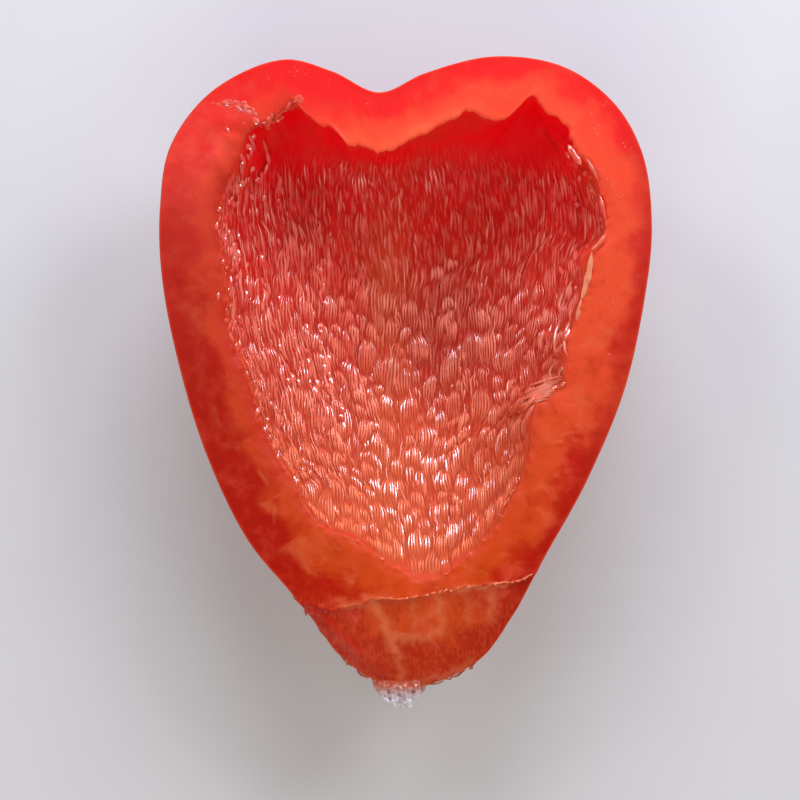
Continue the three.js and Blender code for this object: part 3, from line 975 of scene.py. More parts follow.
# The heights are in millimetres. The beads are about 1.2 mm apart.
tree = relief = new_geometry("pepper_relief", [
    ("Bead height", "Float", 0.26),
    ("Flesh sway", "Float", 0.12),
    ("Skin sway", "Float", 0.22),
    ("Skin", "Material", None),
    ("Flesh", "Material", None),
    ("Wall", "Material", None),
])
given = add(tree, "NodeGroupInput").outputs
spot = add(tree, "GeometryNodeInputPosition")
READ = "GeometryNodeInputNamedAttribute"
beaded_at = add(tree, READ, {"Name": "beaded"}, data_type="FLOAT")
skin_at = add(tree, READ, {"Name": "skin_gap"}, data_type="FLOAT")
zone_at = add(tree, READ, {"Name": "zone"}, data_type="INT")
bead = add(tree, "ShaderNodeTexVoronoi", {"Vector": spot, "Scale": 800.0, "Randomness": 0.9})
bead = {0: bead, 1: 0.1, 2: 0.62, 3: 1.0, 4: 0.0}
bead = add(tree, "ShaderNodeMapRange", bead, interpolation_type="SMOOTHSTEP")
skin_noise = add(tree, "ShaderNodeTexNoise", {"Vector": spot, "Scale": 85.0, "Detail": 3.0})
flesh_noise = add(tree, "ShaderNodeTexNoise", {"Vector": spot, "Scale": 190.0, "Detail": 3.0})
on_skin = add(tree, "ShaderNodeMapRange", {0: skin_at, 1: -0.9, 2: -0.3, 3: 1.0, 4: 0.0})
on_flesh = add(tree, "ShaderNodeMapRange", {0: skin_at, 1: 0.3, 2: 1.5, 3: 0.0, 4: 1.0})
z = add(tree, "ShaderNodeSeparateXYZ", {0: spot}).outputs[2]
off_patch = add(tree, "ShaderNodeMapRange", {0: z, 1: 0.0004, 2: 0.004, 3: 0.0, 4: 1.0})
heights = []
for height, *limits in (
    (bead, beaded_at, given["Bead height"]),
    (skin_noise, given["Skin sway"], on_skin, off_patch),
    (flesh_noise, given["Flesh sway"], on_flesh),
):
    for limit in limits:
        height = add(tree, "ShaderNodeMath", {0: height, 1: limit}, operation="MULTIPLY")
    heights.append(height)
raised, skin_low, flesh_low = heights
total = add(tree, "ShaderNodeMath", {0: raised, 1: skin_low}, operation="SUBTRACT")
total = add(tree, "ShaderNodeMath", {0: total, 1: flesh_low}, operation="SUBTRACT")
metres = add(tree, "ShaderNodeMath", {0: total, 1: MM}, operation="MULTIPLY")
facing = add(tree, "GeometryNodeInputNormal")
shift = add(tree, "ShaderNodeVectorMath", {0: facing, "Scale": metres}, operation="SCALE")
moved = add(tree, "GeometryNodeSetPosition", {"Geometry": given["Geometry"], "Offset": shift})
dressed = add(tree, "GeometryNodeRealizeInstances", {0: moved})
for zone, name in ((SKIN, "Skin"), (FLESH, "Flesh"), (WALL, "Wall")):
    equal = {2: zone_at, 3: zone}
    chosen = add(tree, "FunctionNodeCompare", equal, data_type="INT", operation="EQUAL")
    look = {"Geometry": dressed, "Selection": chosen, "Material": given[name]}
    dressed = add(tree, "GeometryNodeSetMaterial", look)
add(tree, "NodeGroupOutput", {0: dressed})


def grown(name, mesh, group, materials):
    """The plain mesh that a geometry tree makes of a mesh, as a new object."""
    piece = bpy.data.objects.new(name, mesh)
    scene.collection.objects.link(piece)
    modifier = piece.modifiers.new(name, "NODES")
    modifier.node_group = group
    for item in group.interface.items_tree:
        if item.item_type == "SOCKET" and item.name in materials:
            modifier[item.identifier] = materials[item.name]
    evaluated = piece.evaluated_get(bpy.context.evaluated_depsgraph_get())
    plain = bpy.data.meshes.new_from_object(evaluated)
    piece.modifiers.clear()
    piece.data = plain
    plain.name = name
    return piece


looks = {"Skin": skin_look, "Flesh": flesh_look, "Wall": wall_look}
cheek = grown("pepper_cheek_surface", cheek_mesh, relief, looks)

# A flat layout for the colour map: the cut side seen from above, and the skin side seen from
# below in a narrow strip beside it.
MAP_START, MAP_SPAN = 0.01, 0.98
STRIP_START, STRIP_SPAN = 0.765, 0.225
flat = all_points[:, :2].copy()
flat[wall_rows] = plan
reach_x, reach_y = high[:2] - low[:2]
loop_points = np.empty(len(cheek.data.loops), dtype=np.int32)
cheek.data.loops.foreach_get("vertex_index", loop_points)
loop_totals = np.empty(len(cheek.data.polygons), dtype=np.int32)
cheek.data.polygons.foreach_get("loop_total", loop_totals)
loop_zones = np.repeat(np.array(zones), loop_totals)
across_map = (flat[loop_points, 0] - low[0]) / reach_y * MAP_SPAN + MAP_START
strip_map = (flat[loop_points, 0] - low[0]) / reach_x * STRIP_SPAN + STRIP_START
layout = np.empty((len(loop_points), 2), dtype=np.float32)
layout[:, 0] = np.where(loop_zones == SKIN, strip_map, across_map)
layout[:, 1] = (flat[loop_points, 1] - low[1]) / reach_y * MAP_SPAN + MAP_START
cheek.data.uv_layers.new(name="OFBake").data.foreach_set("uv", layout.ravel())

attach(cheek, "root")
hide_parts("pepper_cheek")


# Ribs of the lining ----------------------------------------------------------------------
# Each swollen cell carries a fan of fine raised ribs, half a millimetre apart, that meet at its ends.
# They are salmon, palest on their crests and towards their upper ends, partly their own pale skin and
# partly a painted sheen and highlight, and run with juice near the tip. They are crisper and fewer
# than real ones, which fade into each other.

RIB_PITCH = 0.54
FAN_POINTS, RIB_POINTS, STRAND_POINTS, LUMP_POINTS = 25, 6, 8, 6
rib_dice = np.random.default_rng(23)
rib_lines, rib_radius, rib_facing, rib_pale, rib_juice = [], [], [], [], []


def lay_rib(line, facing, half_width, pale, juice, blunt_end=5.0):
    """Adds a tapered rib along a line, wet at its upper end."""
    t = np.linspace(-1, 1, len(line))
    blunt = np.where(t > 0, blunt_end, 2.0)
    keen = 0.5 + 0.16 * (5.0 - blunt_end)
    taper = np.maximum(np.clip(1 - np.abs(t) ** blunt, 0, 1) ** keen, 0.12)
    taper *= 0.75 + 0.25 * ease(-0.6, 0.6, t)
    rib_lines.append(line)
    rib_facing.append(facing)
    rib_radius.append(half_width * taper)
    # Palest a little above the middle, towards the upper end: partly the rib's own colour, partly a
    # painted highlight.
    rib_pale.append(pale * np.clip(1.35 - 1.1 * np.abs(t - 0.25) ** 1.5, 0, 1.15))
    rib_juice.append(juice * ease(-0.2, 0.3, t) * ease(1.0, 0.9, t))


# The fans, sunk a little into their mounds and cut off where another mound covers them.
for number, (u0, v0, across_step, along_step, width, length, skew, y, drawn) in enumerate(mounds):
    wet = 0.12 + 0.88 * ease(0.30, 0.75, drawn)
    upper = ease(8, 22, y)
    if drawn < 0.3 * upper:
        continue
    left_wall = ease(-12, -19, at_grid(plan, u0, v0)[0]) * ease(-14, -4, y)
    fan = max(2, round(width / (RIB_PITCH * (1 + 0.35 * max(upper, left_wall)))))
    for k in range(fan):
        low_end, high_end, aside, thick, pale, kept, juice = rib_dice.uniform(0, 1, 7)
        if kept < 0.35 * upper or y > 38:
            continue
        start, end = -1.0 + 0.30 * low_end + 0.20 * upper * low_end, 0.72 + 0.23 * high_end
        b = np.linspace(start, end, FAN_POINTS)
        share = (2 * (k + 0.5) / fan - 1) * 0.92 + 0.06 * (aside - 0.5)
        wave = 0.05 * np.sin(4 * b + 6 * aside)
        u = u0 + ((share * lens(b) ** 0.8 + skew * b) * (width / 2) + wave) / across_step
        v = v0 + b * (length / 2) / along_step
        inside = (u > 0) & (u < ACROSS - 1) & (v > 0) & (v < ALONG - 1)
        row = np.clip(v, 0, ALONG - 1).round().astype(int)
        column = np.clip(u, 0, ACROSS - 1).round().astype(int)
        seen = np.flatnonzero(inside & (owner[row, column] == number))
        if len(seen) < 7:
            continue
        at = np.linspace(seen[0], seen[-1], RIB_POINTS)
        u, v = np.interp(at, np.arange(FAN_POINTS), u), np.interp(at, np.arange(FAN_POINTS), v)
        if at_grid(blistered_wall, u[3:4], v[3:4])[0] < 0.55:
            continue
        stout = 0.165 + 0.06 * thick + upper * (0.16 * thick**2 - 0.01)
        facing = at_grid(wall_normal, u, v)
        line = at_grid(wall, u, v) - (0.12 + 0.10 * upper) * stout * facing
        pale = 0.5 + 0.5 * pale - 0.25 * upper * (1 - pale)
        lay_rib(line, facing, stout, pale, wet * ease(0.15, 0.6, juice), 5.0 - 2.6 * upper)

# Single strands that cross the fans, the first of them on the left wall.
STRANDS, LEFT_STRANDS = 760, 150
for strand in range(STRANDS):
    u0, v0, long, sway, thick, pale, juice = rib_dice.uniform(0, 1, 7)
    on_left = strand < LEFT_STRANDS
    u0 = u0 * (0.30 if on_left else 1.0) * (ACROSS - 1)
    v0 = (0.12 + 0.75 * v0 if on_left else v0**0.7) * (ALONG - 1)
    if at_grid(blistered_wall, np.array([u0]), np.array([v0]))[0] < 0.6:
        continue
    x, y = at_grid(plan, u0, v0)
    upper = ease(4, 22, y)
    left_wall = ease(-12, -18, x) * ease(-12, -2, y)
    along_step = step_v[min(int(v0), ALONG - 2), min(int(u0), ACROSS - 2)]
    across_step = step_u[min(int(v0), ALONG - 2), min(int(u0), ACROSS - 2)]
    t = np.linspace(-1, 1, STRAND_POINTS)
    v = v0 + t * (1.0 + 2.2 * long**2 + 0.8 * left_wall) / along_step
    u = u0 + (0.28 * (sway - 0.5) * 2 * (1 - t**2) + 0.05 * np.sin(5 * t + 9 * sway)) / across_step
    if v.min() < 1 or v.max() > ALONG - 2 or u.min() < 1 or u.max() > ACROSS - 2:
        continue
    stout = 0.11 + 0.06 * thick + 0.12 * upper * thick**2 + 0.07 * left_wall * (1 - upper)
    facing = at_grid(wall_normal, u, v)
    line = at_grid(wall, u, v) - (0.12 + 0.10 * upper) * stout * facing
    juice = 0.25 + 0.75 * left_wall * ease(0.5, 0.9, juice)
    lay_rib(line, facing, stout, 0.35 + 0.65 * pale, juice, 5.0 - 2.8 * upper)


def draped(line_x, line_y, lift):
    """A line laid over the hollow's wall and the cut beside it, and the way it faces."""
    turn_at = np.arctan2(line_y - FLOOR[1], line_x - FLOOR[0])
    past_edge = np.hypot(line_x - FLOOR[0], line_y - FLOOR[1]) - reach(edge_reach, turn_at)
    deep, wide_roll = edge_roll(turn_at)
    on_cut = cut_height(line_x, line_y) - deep * np.clip(1 - past_edge / wide_roll, 0, 1) ** 2
    in_wall = hollow_point(line_x, line_y)[0][..., 2]
    line_z = np.where(past_edge > 0, on_cut, np.minimum(in_wall, on_cut)) + lift
    facing = np.column_stack([-0.5 * np.cos(turn_at), -0.5 * np.sin(turn_at), np.ones(len(turn_at))])
    facing /= np.linalg.norm(facing, axis=1)[:, None]
    return np.column_stack([line_x, line_y, line_z]), facing


def lay_lump(x, y, lean, half_length, lift, half_width, pale, juice, blunt_end=3.0):
    """Adds a short, straight lump with its middle at x, y, lying in the direction lean."""
    t = np.linspace(-1, 1, LUMP_POINTS) * half_length
    line, facing = draped(x + t * math.cos(lean), y + t * math.sin(lean), lift)
    lay_rib(line, facing, half_width, pale, juice, blunt_end)


# Wet lumps of torn lining along the hollow's left edge, and a few on its right.
LUMPS = 210
LEFT_SHARE = 0.85
for lump in range(LUMPS):
    side, off, long, wide, heading, pale, juice = rib_dice.uniform(0, 1, 7)
    on_left = side < LEFT_SHARE
    angle = 130 + 114 * side / LEFT_SHARE if on_left else 8 + 34 * (side - LEFT_SHARE) / 0.15
    spill = -0.1 + 0.25 * ease(225, 195, angle) * on_left
    angle = math.radians(angle)
    out = reach(edge_reach, angle) + spill - (spill + 1.2 + 3.0 * (pale > 0.6)) * off**0.7
    x, y = FLOOR + out * np.array([math.cos(angle), math.sin(angle)])
    lean = math.radians(70 + 45 * heading)
    juice = ease(0.35, 0.8, juice)
    lay_lump(x, y, lean, 0.5 + 0.9 * long**2, -0.08, 0.28 + 0.34 * wide**2, 0.3 + 0.35 * pale, juice)

# Larger wet blobs among the ropes of the left wall, each with one broad glint.
BLOBS = 34
for blob in range(BLOBS):
    u0, v0, long, wide, heading, pale = rib_dice.uniform(0, 1, 6)
    u0 = (0.02 + 0.26 * u0) * (ACROSS - 1)
    v0 = (0.30 + 0.52 * v0) * (ALONG - 1)
    along_step = step_v[int(v0), int(u0)]
    across_step = step_u[int(v0), int(u0)]
    t = np.linspace(-1, 1, LUMP_POINTS)
    v = v0 + t * (0.6 + 0.6 * long) / along_step
    u = u0 + 0.3 * (heading - 0.5) * t / across_step
    line, facing = at_grid(wall, u, v), at_grid(wall_normal, u, v)
    half_width = 0.40 + 0.25 * wide
    lay_rib(line - 0.15 * half_width * facing, facing, half_width, 0.4 + 0.4 * pale, 1.0, 3.0)

# Stout wet ribs where the lining pulled away on the right, and the comb of fine ribs below
# them that runs up to the corner of the hollow's edge.
TORN_LIFT = 0.45
for bend, half_width in (
    ([(25.4, 9.8), (24.5, 7.6), (24.3, 5.4), (25.0, 3.6)], 0.40),
    ([(24.2, 10.2), (23.2, 7.8), (23.0, 5.6), (23.6, 3.6)], 0.42),
    ([(22.9, 9.4), (22.1, 7.2), (22.1, 5.0)], 0.38),
    ([(21.7, 8.6), (21.1, 6.6), (21.2, 4.8)], 0.34),
    ([(26.3, 13.0), (25.4, 10.9), (25.3, 9.2)], 0.36),
    ([(24.7, 14.4), (24.0, 12.6), (23.9, 10.8)], 0.34),
    ([(25.9, 16.0), (25.1, 14.4), (25.0, 12.9)], 0.32),
    ([(22.9, 3.2), (22.3, 1.8), (22.4, 0.6)], 0.32),
    ([(24.2, 3.0), (23.6, 1.7), (23.8, 0.4)], 0.34),
):
    knots = np.array(bend)[::-1]
    at = np.linspace(0, len(knots) - 1, STRAND_POINTS)
    line_x, line_y = (np.interp(at, np.arange(len(knots)), axis) for axis in knots.T)
    line, facing = draped(line_x, line_y, TORN_LIFT)
    lay_rib(line, facing, half_width, 1.0, 1.0, 3.0)
COMB_RIBS = 9
for k in range(COMB_RIBS):
    start, end, sway, thick, juice = rib_dice.uniform(0, 1, 5)
    t = np.linspace(0, 1, STRAND_POINTS)
    line_x = 24.4 - 0.30 * k + 0.5 * start - (4.2 + 2.6 * end) * (1 - t)
    line_y = 1.1 - 0.42 * k + (-1.8 - 0.9 * sway) * (1 - t) ** 1.4
    line, facing = draped(line_x, line_y, TORN_LIFT)
    lay_rib(line, facing, 0.24 + 0.12 * thick, 1.0, ease(0.0, 0.4, juice), 3.0)

# The largest blobs of juice: on the torn ribs, at the comb's end, at both shoulders and
# along the left edge. Each has a place, a heading, half a length and half a width.
for x, y, heading, half_length, half_width in (
    (24.7, 7.3, 68, 1.3, 0.62), (23.4, 6.4, 78, 1.1, 0.42), (23.9, -0.2, 30, 0.8, 0.36),
    (22.7, -0.8, 34, 0.9, 0.34), (21.5, -1.5, 32, 0.8, 0.30), (-22.9, 40.2, -50, 0.8, 0.60),
    (-27.6, 42.8, -20, 0.8, 0.42), (-24.6, 42.2, -40, 0.6, 0.40), (-27.2, 38.9, -70, 0.7, 0.34),
    (-28.9, 24.0, 80, 0.8, 0.40), (-27.6, 21.6, 75, 0.9, 0.44), (-28.6, 13.2, 85, 0.8, 0.40),
    (-26.9, 28.4, 70, 0.7, 0.36), (25.0, 35.2, -60, 0.8, 0.40),
):
    lift = 0.42 if y < 9 else 0.02
    pale = 0.8 if x > 0 else 0.3
    lay_lump(x, y, math.radians(heading), half_length, lift, half_width, pale, 1.0, 2.6)

# A ridge of wet crumbs runs from the left shoulder to the corner of the lip.
CRUMBS = 96
CRUMB_LINE = np.array([
    (-29.2, 42.8), (-27.8, 42.7), (-25.6, 42.5), (-23.9, 41.7), (-22.8, 40.1), (-21.2, 39.7),
    (-19.8, 40.7), (-18.7, 42.2), (-17.3, 43.0), (-15.4, 43.6),
])
for crumb in range(CRUMBS):
    forth, aside_x, aside_y, long, wide, heading, juice = rib_dice.uniform(0, 1, 7)
    forth *= len(CRUMB_LINE) - 1
    knot = min(int(forth), len(CRUMB_LINE) - 2)
    step = CRUMB_LINE[knot + 1] - CRUMB_LINE[knot]
    x, y = CRUMB_LINE[knot] + (forth - knot) * step
    x, y = x + 1.1 * (aside_x - 0.5), y + 1.0 * (aside_y - 0.5)
    lean = math.atan2(step[1], step[0]) + 1.2 * (heading - 0.5)
    pale = 0.22 + 0.30 * juice
    at_top = math.exp(-(((x + 23) ** 2 + (y - 40.2) ** 2) / 7))
    juice = min(1.0, ease(0.55, 0.95, juice) + at_top)
    lay_lump(x, y, lean, 0.45 + 0.6 * long**2, -0.14, 0.26 + 0.28 * wide**2, pale, juice)

# A wet burr stands along the line where the second cut starts.
BURR_FLAKES = 38
trim_x, trim_y = np.array(TRIM_LINE).T
for flake in range(BURR_FLAKES):
    where, long, thick, pale, juice, skew = rib_dice.uniform(0, 1, 6)
    x = -6.0 + 25.5 * where
    t = np.linspace(-1, 1, LUMP_POINTS) * (0.3 + 0.6 * long**2)
    line_x = x + t
    line_y = np.interp(line_x, trim_x, trim_y) + 0.12 * (skew - 0.5) * t + 0.2 * (skew - 0.4)
    line = np.column_stack([line_x, line_y, cut_height(line_x, line_y) + 0.03])
    facing = np.tile([0.0, 0.0, 1.0], (LUMP_POINTS, 1))
    shown = 0.4 + 0.6 * ease(-6, 2, x)
    lay_rib(line, facing, 0.10 + 0.12 * thick, (0.2 + 0.8 * pale) * shown, ease(0.2, 0.6, juice), 3.0)

rib_mesh = bpy.data.meshes.new("rib_lines")
rib_points = np.vstack(rib_lines) * MM
line_ends = set(np.cumsum([len(line) for line in rib_lines]).tolist())
rib_edges = [(i - 1, i) for i in range(1, len(rib_points)) if i not in line_ends]
rib_mesh.from_pydata(rib_points.tolist(), rib_edges, [])
for name, values in (("half_width", rib_radius), ("pale", rib_pale), ("juice", rib_juice)):
    layer = rib_mesh.attributes.new(name, "FLOAT", "POINT")
    layer.data.foreach_set("value", np.concatenate(values).astype(np.float32))
layer = rib_mesh.attributes.new("facing", "FLOAT_VECTOR", "POINT")
layer.data.foreach_set("vector", np.vstack(rib_facing).astype(np.float32).ravel())

# Swollen and soft under running juice: matt salmon ridges, paler along their crests as a partly
# painted sheen, and a hard wet glint on each rib that the juice covers.
rib_look, tree = new_material("wet_ribs_of_the_lining")
place = add(tree, "ShaderNodeTexCoord").outputs["Object"]
x, y = add(tree, "ShaderNodeSeparateXYZ", {0: place}).outputs[:2]
up = add(tree, "ShaderNodeMapRange", {0: y, 1: -0.030, 2: 0.045})
pale_at, ridge_at, juice_at = (
    add(tree, "ShaderNodeAttribute", attribute_name=name).outputs["Fac"]
    for name in ("pale", "ridge", "juice")
)
off_top = add(tree, "ShaderNodeMapRange", {0: y, 1: 0.0365, 2: 0.0395})
off_left = add(tree, "ShaderNodeMapRange", {0: x, 1: -0.0275, 2: -0.0290})
on_cut = add(tree, "ShaderNodeMath", {0: off_top, 1: off_left}, operation="MAXIMUM")
# Painted sheen: the salmon is strongest along each rib's crest and fades down its sides.
ridge = add(tree, "ShaderNodeMapRange", {0: ridge_at, 1: 0.0, 2: 1.0, 3: 0.35, 4: 1.0})
patchy = add(tree, "ShaderNodeTexNoise", {"Vector": place, "Scale": 260.0, "Detail": 2.0})
patchy = add(tree, "ShaderNodeMapRange", {0: patchy, 1: 0.38, 2: 0.6, 3: 0.35, 4: 1.0})
pale = pale_at
for limit in (patchy, ridge, 0.9):
    pale = add(tree, "ShaderNodeMath", {0: pale, 1: limit}, operation="MULTIPLY")
salmon_and_sheen = {0: up, 6: linear("#ff8e58"), 7: linear("#f08c80")}
salmon_and_sheen = add(tree, "ShaderNodeMix", salmon_and_sheen, data_type="RGBA").outputs[2]
base = lining_red(tree, place, up)
for share, colour in ((on_cut, linear("#e4412c")), (pale, salmon_and_sheen)):
    layer = {0: share, 6: base, 7: colour}
    base = add(tree, "ShaderNodeMix", layer, data_type="RGBA").outputs[2]
juicy = add(tree, "ShaderNodeMapRange", {0: y, 1: 0.004, 2: 0.022, 3: 1.0, 4: 0.18})
left = add(tree, "ShaderNodeMapRange", {0: x, 1: -0.022, 2: -0.014, 3: 1.0, 4: 0.0})
juicy = add(tree, "ShaderNodeMath", {0: juicy, 1: left}, operation="MAXIMUM")
juicy = add(tree, "ShaderNodeMath", {0: juicy, 1: juice_at}, operation="MULTIPLY")
rib_surface = add(tree, "ShaderNodeBsdfPrincipled", {
    "Base Color": base,
    "Roughness": 0.5,
    "IOR": 1.36,
    "Specular IOR Level": 0.15,
    "Coat Weight": juicy,
    "Coat Roughness": 0.08,
    "Coat IOR": 2.8,
})
add(tree, "ShaderNodeOutputMaterial", {"Surface": rib_surface})

# Each line becomes a solid low arch: a half circle squashed to the given flatness.
tree = threads = new_geometry("ribs_from_lines", [
    ("Sides", "Int", 5),
    ("Flatness", "Float", 0.40),
    ("Rib", "Material", None),
])
given = add(tree, "NodeGroupInput").outputs
facing_at = add(tree, READ, {"Name": "facing"}, data_type="FLOAT_VECTOR")
half_width_at = add(tree, READ, {"Name": "half_width"}, data_type="FLOAT")
lines = add(tree, "GeometryNodeMeshToCurve", {"Mesh": given["Geometry"]})
upright = {"Curve": lines, "Normal": facing_at}
lines = add(tree, "GeometryNodeSetCurveNormal", upright, mode="FREE")
half_circle = {
    "Resolution": given["Sides"], "Radius": 1.0, "Start Angle": -math.pi / 2, "Sweep Angle": math.pi
}
arch = add(tree, "GeometryNodeCurveArc", half_circle)
round_rib = add(tree, "GeometryNodeSetSplineCyclic", {0: arch, "Cyclic": True})
ridge = add(tree, "GeometryNodeInputPosition")
ridge = add(tree, "ShaderNodeSeparateXYZ", {0: ridge})
stored = {"Geometry": round_rib, "Name": "ridge", "Value": ridge}
round_rib = add(
    tree, "GeometryNodeStoreNamedAttribute", stored, data_type="FLOAT", domain="POINT"
)
squash = add(tree, "ShaderNodeCombineXYZ", {0: given["Flatness"], 1: 1.0, 2: 1.0})
flat_rib = add(tree, "GeometryNodeTransform", {"Geometry": round_rib, "Scale": squash})
thickness = add(tree, "ShaderNodeMath", {0: half_width_at, 1: MM}, operation="MULTIPLY")
swept = {"Curve": lines, "Profile Curve": flat_rib, "Scale": thickness, "Fill Caps": True}
tubes = add(tree, "GeometryNodeCurveToMesh", swept)
soft = add(tree, "GeometryNodeSetShadeSmooth", {"Geometry": tubes, "Shade Smooth": True})
real_ribs = add(tree, "GeometryNodeRealizeInstances", {0: soft})
wet_ribs = {"Geometry": real_ribs, "Material": given["Rib"]}
wet_ribs = add(tree, "GeometryNodeSetMaterial", wet_ribs)
add(tree, "NodeGroupOutput", {0: wet_ribs})
ribs = grown("lining_ribs", rib_mesh, threads, {"Rib": rib_look})
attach(ribs, "root")


# Folds of the lining ---------------------------------------------------------------------
# Where the core was pulled out, the lining tore along the hollow's edge and curled into
# small wet rolls: cream on the right, where the white core held, red at the left shoulder.

def mesh_of(name, forms, material):
    """A smooth mesh object out of forms, each with points in millimetres and faces."""
    points, faces = [], []
    for form_points, form_faces in forms:
        start = sum(len(p) for p in points)
        points.append(form_points)
        faces += [tuple(i + start for i in face) for face in form_faces]
    mesh = bpy.data.meshes.new(name)
    mesh.from_pydata((np.vstack(points) * MM).tolist(), [], faces)
    mesh.polygons.foreach_set("use_smooth", [True] * len(faces))
    mesh.materials.append(material)
    piece = bpy.data.objects.new(name, mesh)
    scene.collection.objects.link(piece)
    return piece


# Slick with juice: mottled cream or red under a coat that catches every window.
folds_look, tree = new_material("wet_torn_lining")
place = add(tree, "ShaderNodeTexCoord").outputs["Object"]
cream_at = add(tree, "ShaderNodeAttribute", attribute_name="cream").outputs["Fac"]
mottle = add(tree, "ShaderNodeTexNoise", {"Vector": place, "Scale": 600.0, "Detail": 2.0})
mottle = add(tree, "ShaderNodeMapRange", {0: mottle, 1: 0.35, 2: 0.65, 3: -0.15, 4: 0.15})
cream = add(tree, "ShaderNodeMath", {0: cream_at, 1: mottle}, operation="ADD", use_clamp=True)
base = {0: cream, 6: linear("#ea4430"), 7: linear("#f49468")}
base = add(tree, "ShaderNodeMix", base, data_type="RGBA").outputs[2]
grain = add(tree, "ShaderNodeTexNoise", {"Vector": place, "Scale": 1600.0, "Detail": 1.0})
bump = add(tree, "ShaderNodeBump", {"Height": grain, "Distance": 0.00010, "Strength": 0.6})
curled = add(tree, "ShaderNodeBsdfPrincipled", {
    "Base Color": base,
    "Roughness": 0.30,
    "IOR": 1.36,
    "Normal": bump,
    "Subsurface Weight": 0.6,
    "Subsurface Radius": (1.0, 0.3, 0.15),
    "Subsurface Scale": 0.001,
    "Coat Weight": 0.8,
    "Coat Roughness": 0.07,
    "Coat IOR": 2.0,
    "Coat Normal": bump,
})
add(tree, "ShaderNodeOutputMaterial", {"Surface": curled})


def softened(line):
    """A line with its corners cut twice."""
    for trimming in range(2):
        near = line[:-1] * 0.75 + line[1:] * 0.25
        far = line[:-1] * 0.25 + line[1:] * 0.75
        line = np.vstack([line[:1], np.stack([near, far], axis=1).reshape(-1, 3), line[-1:]])
    return line


ROLL_STEPS, ROLL_SIDES = 26, 12


def roll_along(line, width, thickness):
    """Points and faces of a closed, tapering roll along a line of x, y, z in millimetres."""
    line = softened(line)
    middle, at = spaced(line, ROLL_STEPS)
    ahead = np.gradient(middle, axis=0)
    side = np.stack([-ahead[:, 1], ahead[:, 0], np.zeros(ROLL_STEPS)], axis=1)
    side /= np.linalg.norm(side, axis=1)[:, None]
    t = np.linspace(-1, 1, ROLL_STEPS)
    taper = np.clip(1 - np.abs(t) ** 2.0, 0, 1) ** 0.8 * (1 + 0.16 * np.sin(at * 2.6 + line[0, 0]))
    taper = np.maximum(taper, 0.03)[:, None, None]
    turn = np.linspace(0, 2 * math.pi, ROLL_SIDES, endpoint=False)[None, :, None]
    rise = np.array([0.0, 0.0, 1.0])
    ring = middle[:, None] + taper * (
        width / 2 * np.cos(turn) * side[:, None] + thickness / 2 * np.sin(turn) * rise
    )
    number = np.arange(ROLL_STEPS * ROLL_SIDES).reshape(ROLL_STEPS, ROLL_SIDES)
    onward = np.roll(number, -1, axis=1)
    quads = np.stack([number[:-1], number[1:], onward[1:], onward[:-1]], axis=-1)
    found = [tuple(int(i) for i in q) for q in quads.reshape(-1, 4)]
    found.append(tuple(int(i) for i in number[0]))
    found.append(tuple(int(i) for i in number[-1][::-1]))
    return ring.reshape(-1, 3), found


# Each fold: points with x, y and a height over the cut; its width, thickness and creaminess.
FOLDS = [
    ([(30.6, 22.9, 0.2), (29.6, 21.3, 0.1), (28.4, 20.4, 0.0)], 0.55, 0.5, 0.55),
    ([(28.5, 20.2, 0.0), (28.2, 17.4, -0.1), (27.5, 14.6, -0.3), (26.9, 12.6, -0.5)], 0.85, 0.5, 0.9),
    ([(26.9, 12.8, -0.4), (26.5, 11.0, -0.5), (26.2, 9.2, -0.6)], 0.60, 0.5, 0.7),
    ([(27.5, 34.6, 0.0), (28.7, 32.7, 0.0), (29.5, 30.9, 0.0)], 0.45, 0.3, 0.2),
    ([(29.7, 28.9, -0.3), (30.2, 27.0, -0.2), (30.6, 25.0, -0.2)], 0.55, 0.5, 0.2),
    ([(24.9, 36.6, -0.5), (25.7, 35.1, -0.4), (27.0, 33.4, -0.3)], 1.00, 0.9, 0.1),
    ([(-27.2, 37.8, -0.1), (-26.0, 36.9, -0.1), (-25.0, 36.2, -0.3)], 0.60, 0.4, 0.0),
]
rolls, creaminess = [], []
for line, width, thickness, cream in FOLDS:
    line = np.array(line)
    line[:, 2] += cut_height(line[:, 0], line[:, 1]) - 0.15
    low_roll = ease(-10, -15, line[:, 0].mean())
    rolls.append(roll_along(line, width * 1.2, thickness * (1 - 0.35 * low_roll)))
    creaminess += [cream] * (ROLL_STEPS * ROLL_SIDES)
folds = mesh_of("lining_folds", rolls, folds_look)
folds.data.attributes.new("cream", "FLOAT", "POINT").data.foreach_set("value", creaminess)
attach(folds, "root")


# Scrap at the tip ------------------------------------------------------------------------
# A wet, crumpled scrap of clear skin that the second cut left hanging from the tip. It is
# rosy where it joins the flesh and milky towards its torn end.

SCRAP_ROOT, SCRAP_END = -45.1, -50.1


def closed_sheet(top, thickness):
    """Points and faces of a closed sheet under a grid of top points."""
    rows, columns = top.shape[:2]
    bottom = top - np.stack([np.zeros_like(thickness), np.zeros_like(thickness), thickness], axis=-1)
    count = rows * columns
    number = np.arange(count).reshape(rows, columns)
    corners = [number[1:, :-1], number[1:, 1:], number[:-1, 1:], number[:-1, :-1]]
    quads = np.stack(corners, axis=-1).reshape(-1, 4)
    rim = np.concatenate([number[0, :-1], number[:-1, -1], number[-1, :0:-1], number[:0:-1, 0]])
    walls = [(b, a, a + count, b + count) for a, b in zip(np.roll(rim, -1), rim)]
    faces = [tuple(int(i) for i in q) for q in quads]
    faces += [tuple(int(i) + count for i in q[::-1]) for q in quads]
    faces += [tuple(int(i) for i in q[::-1]) for q in walls]
    return np.vstack([top.reshape(-1, 3), bottom.reshape(-1, 3)]), faces


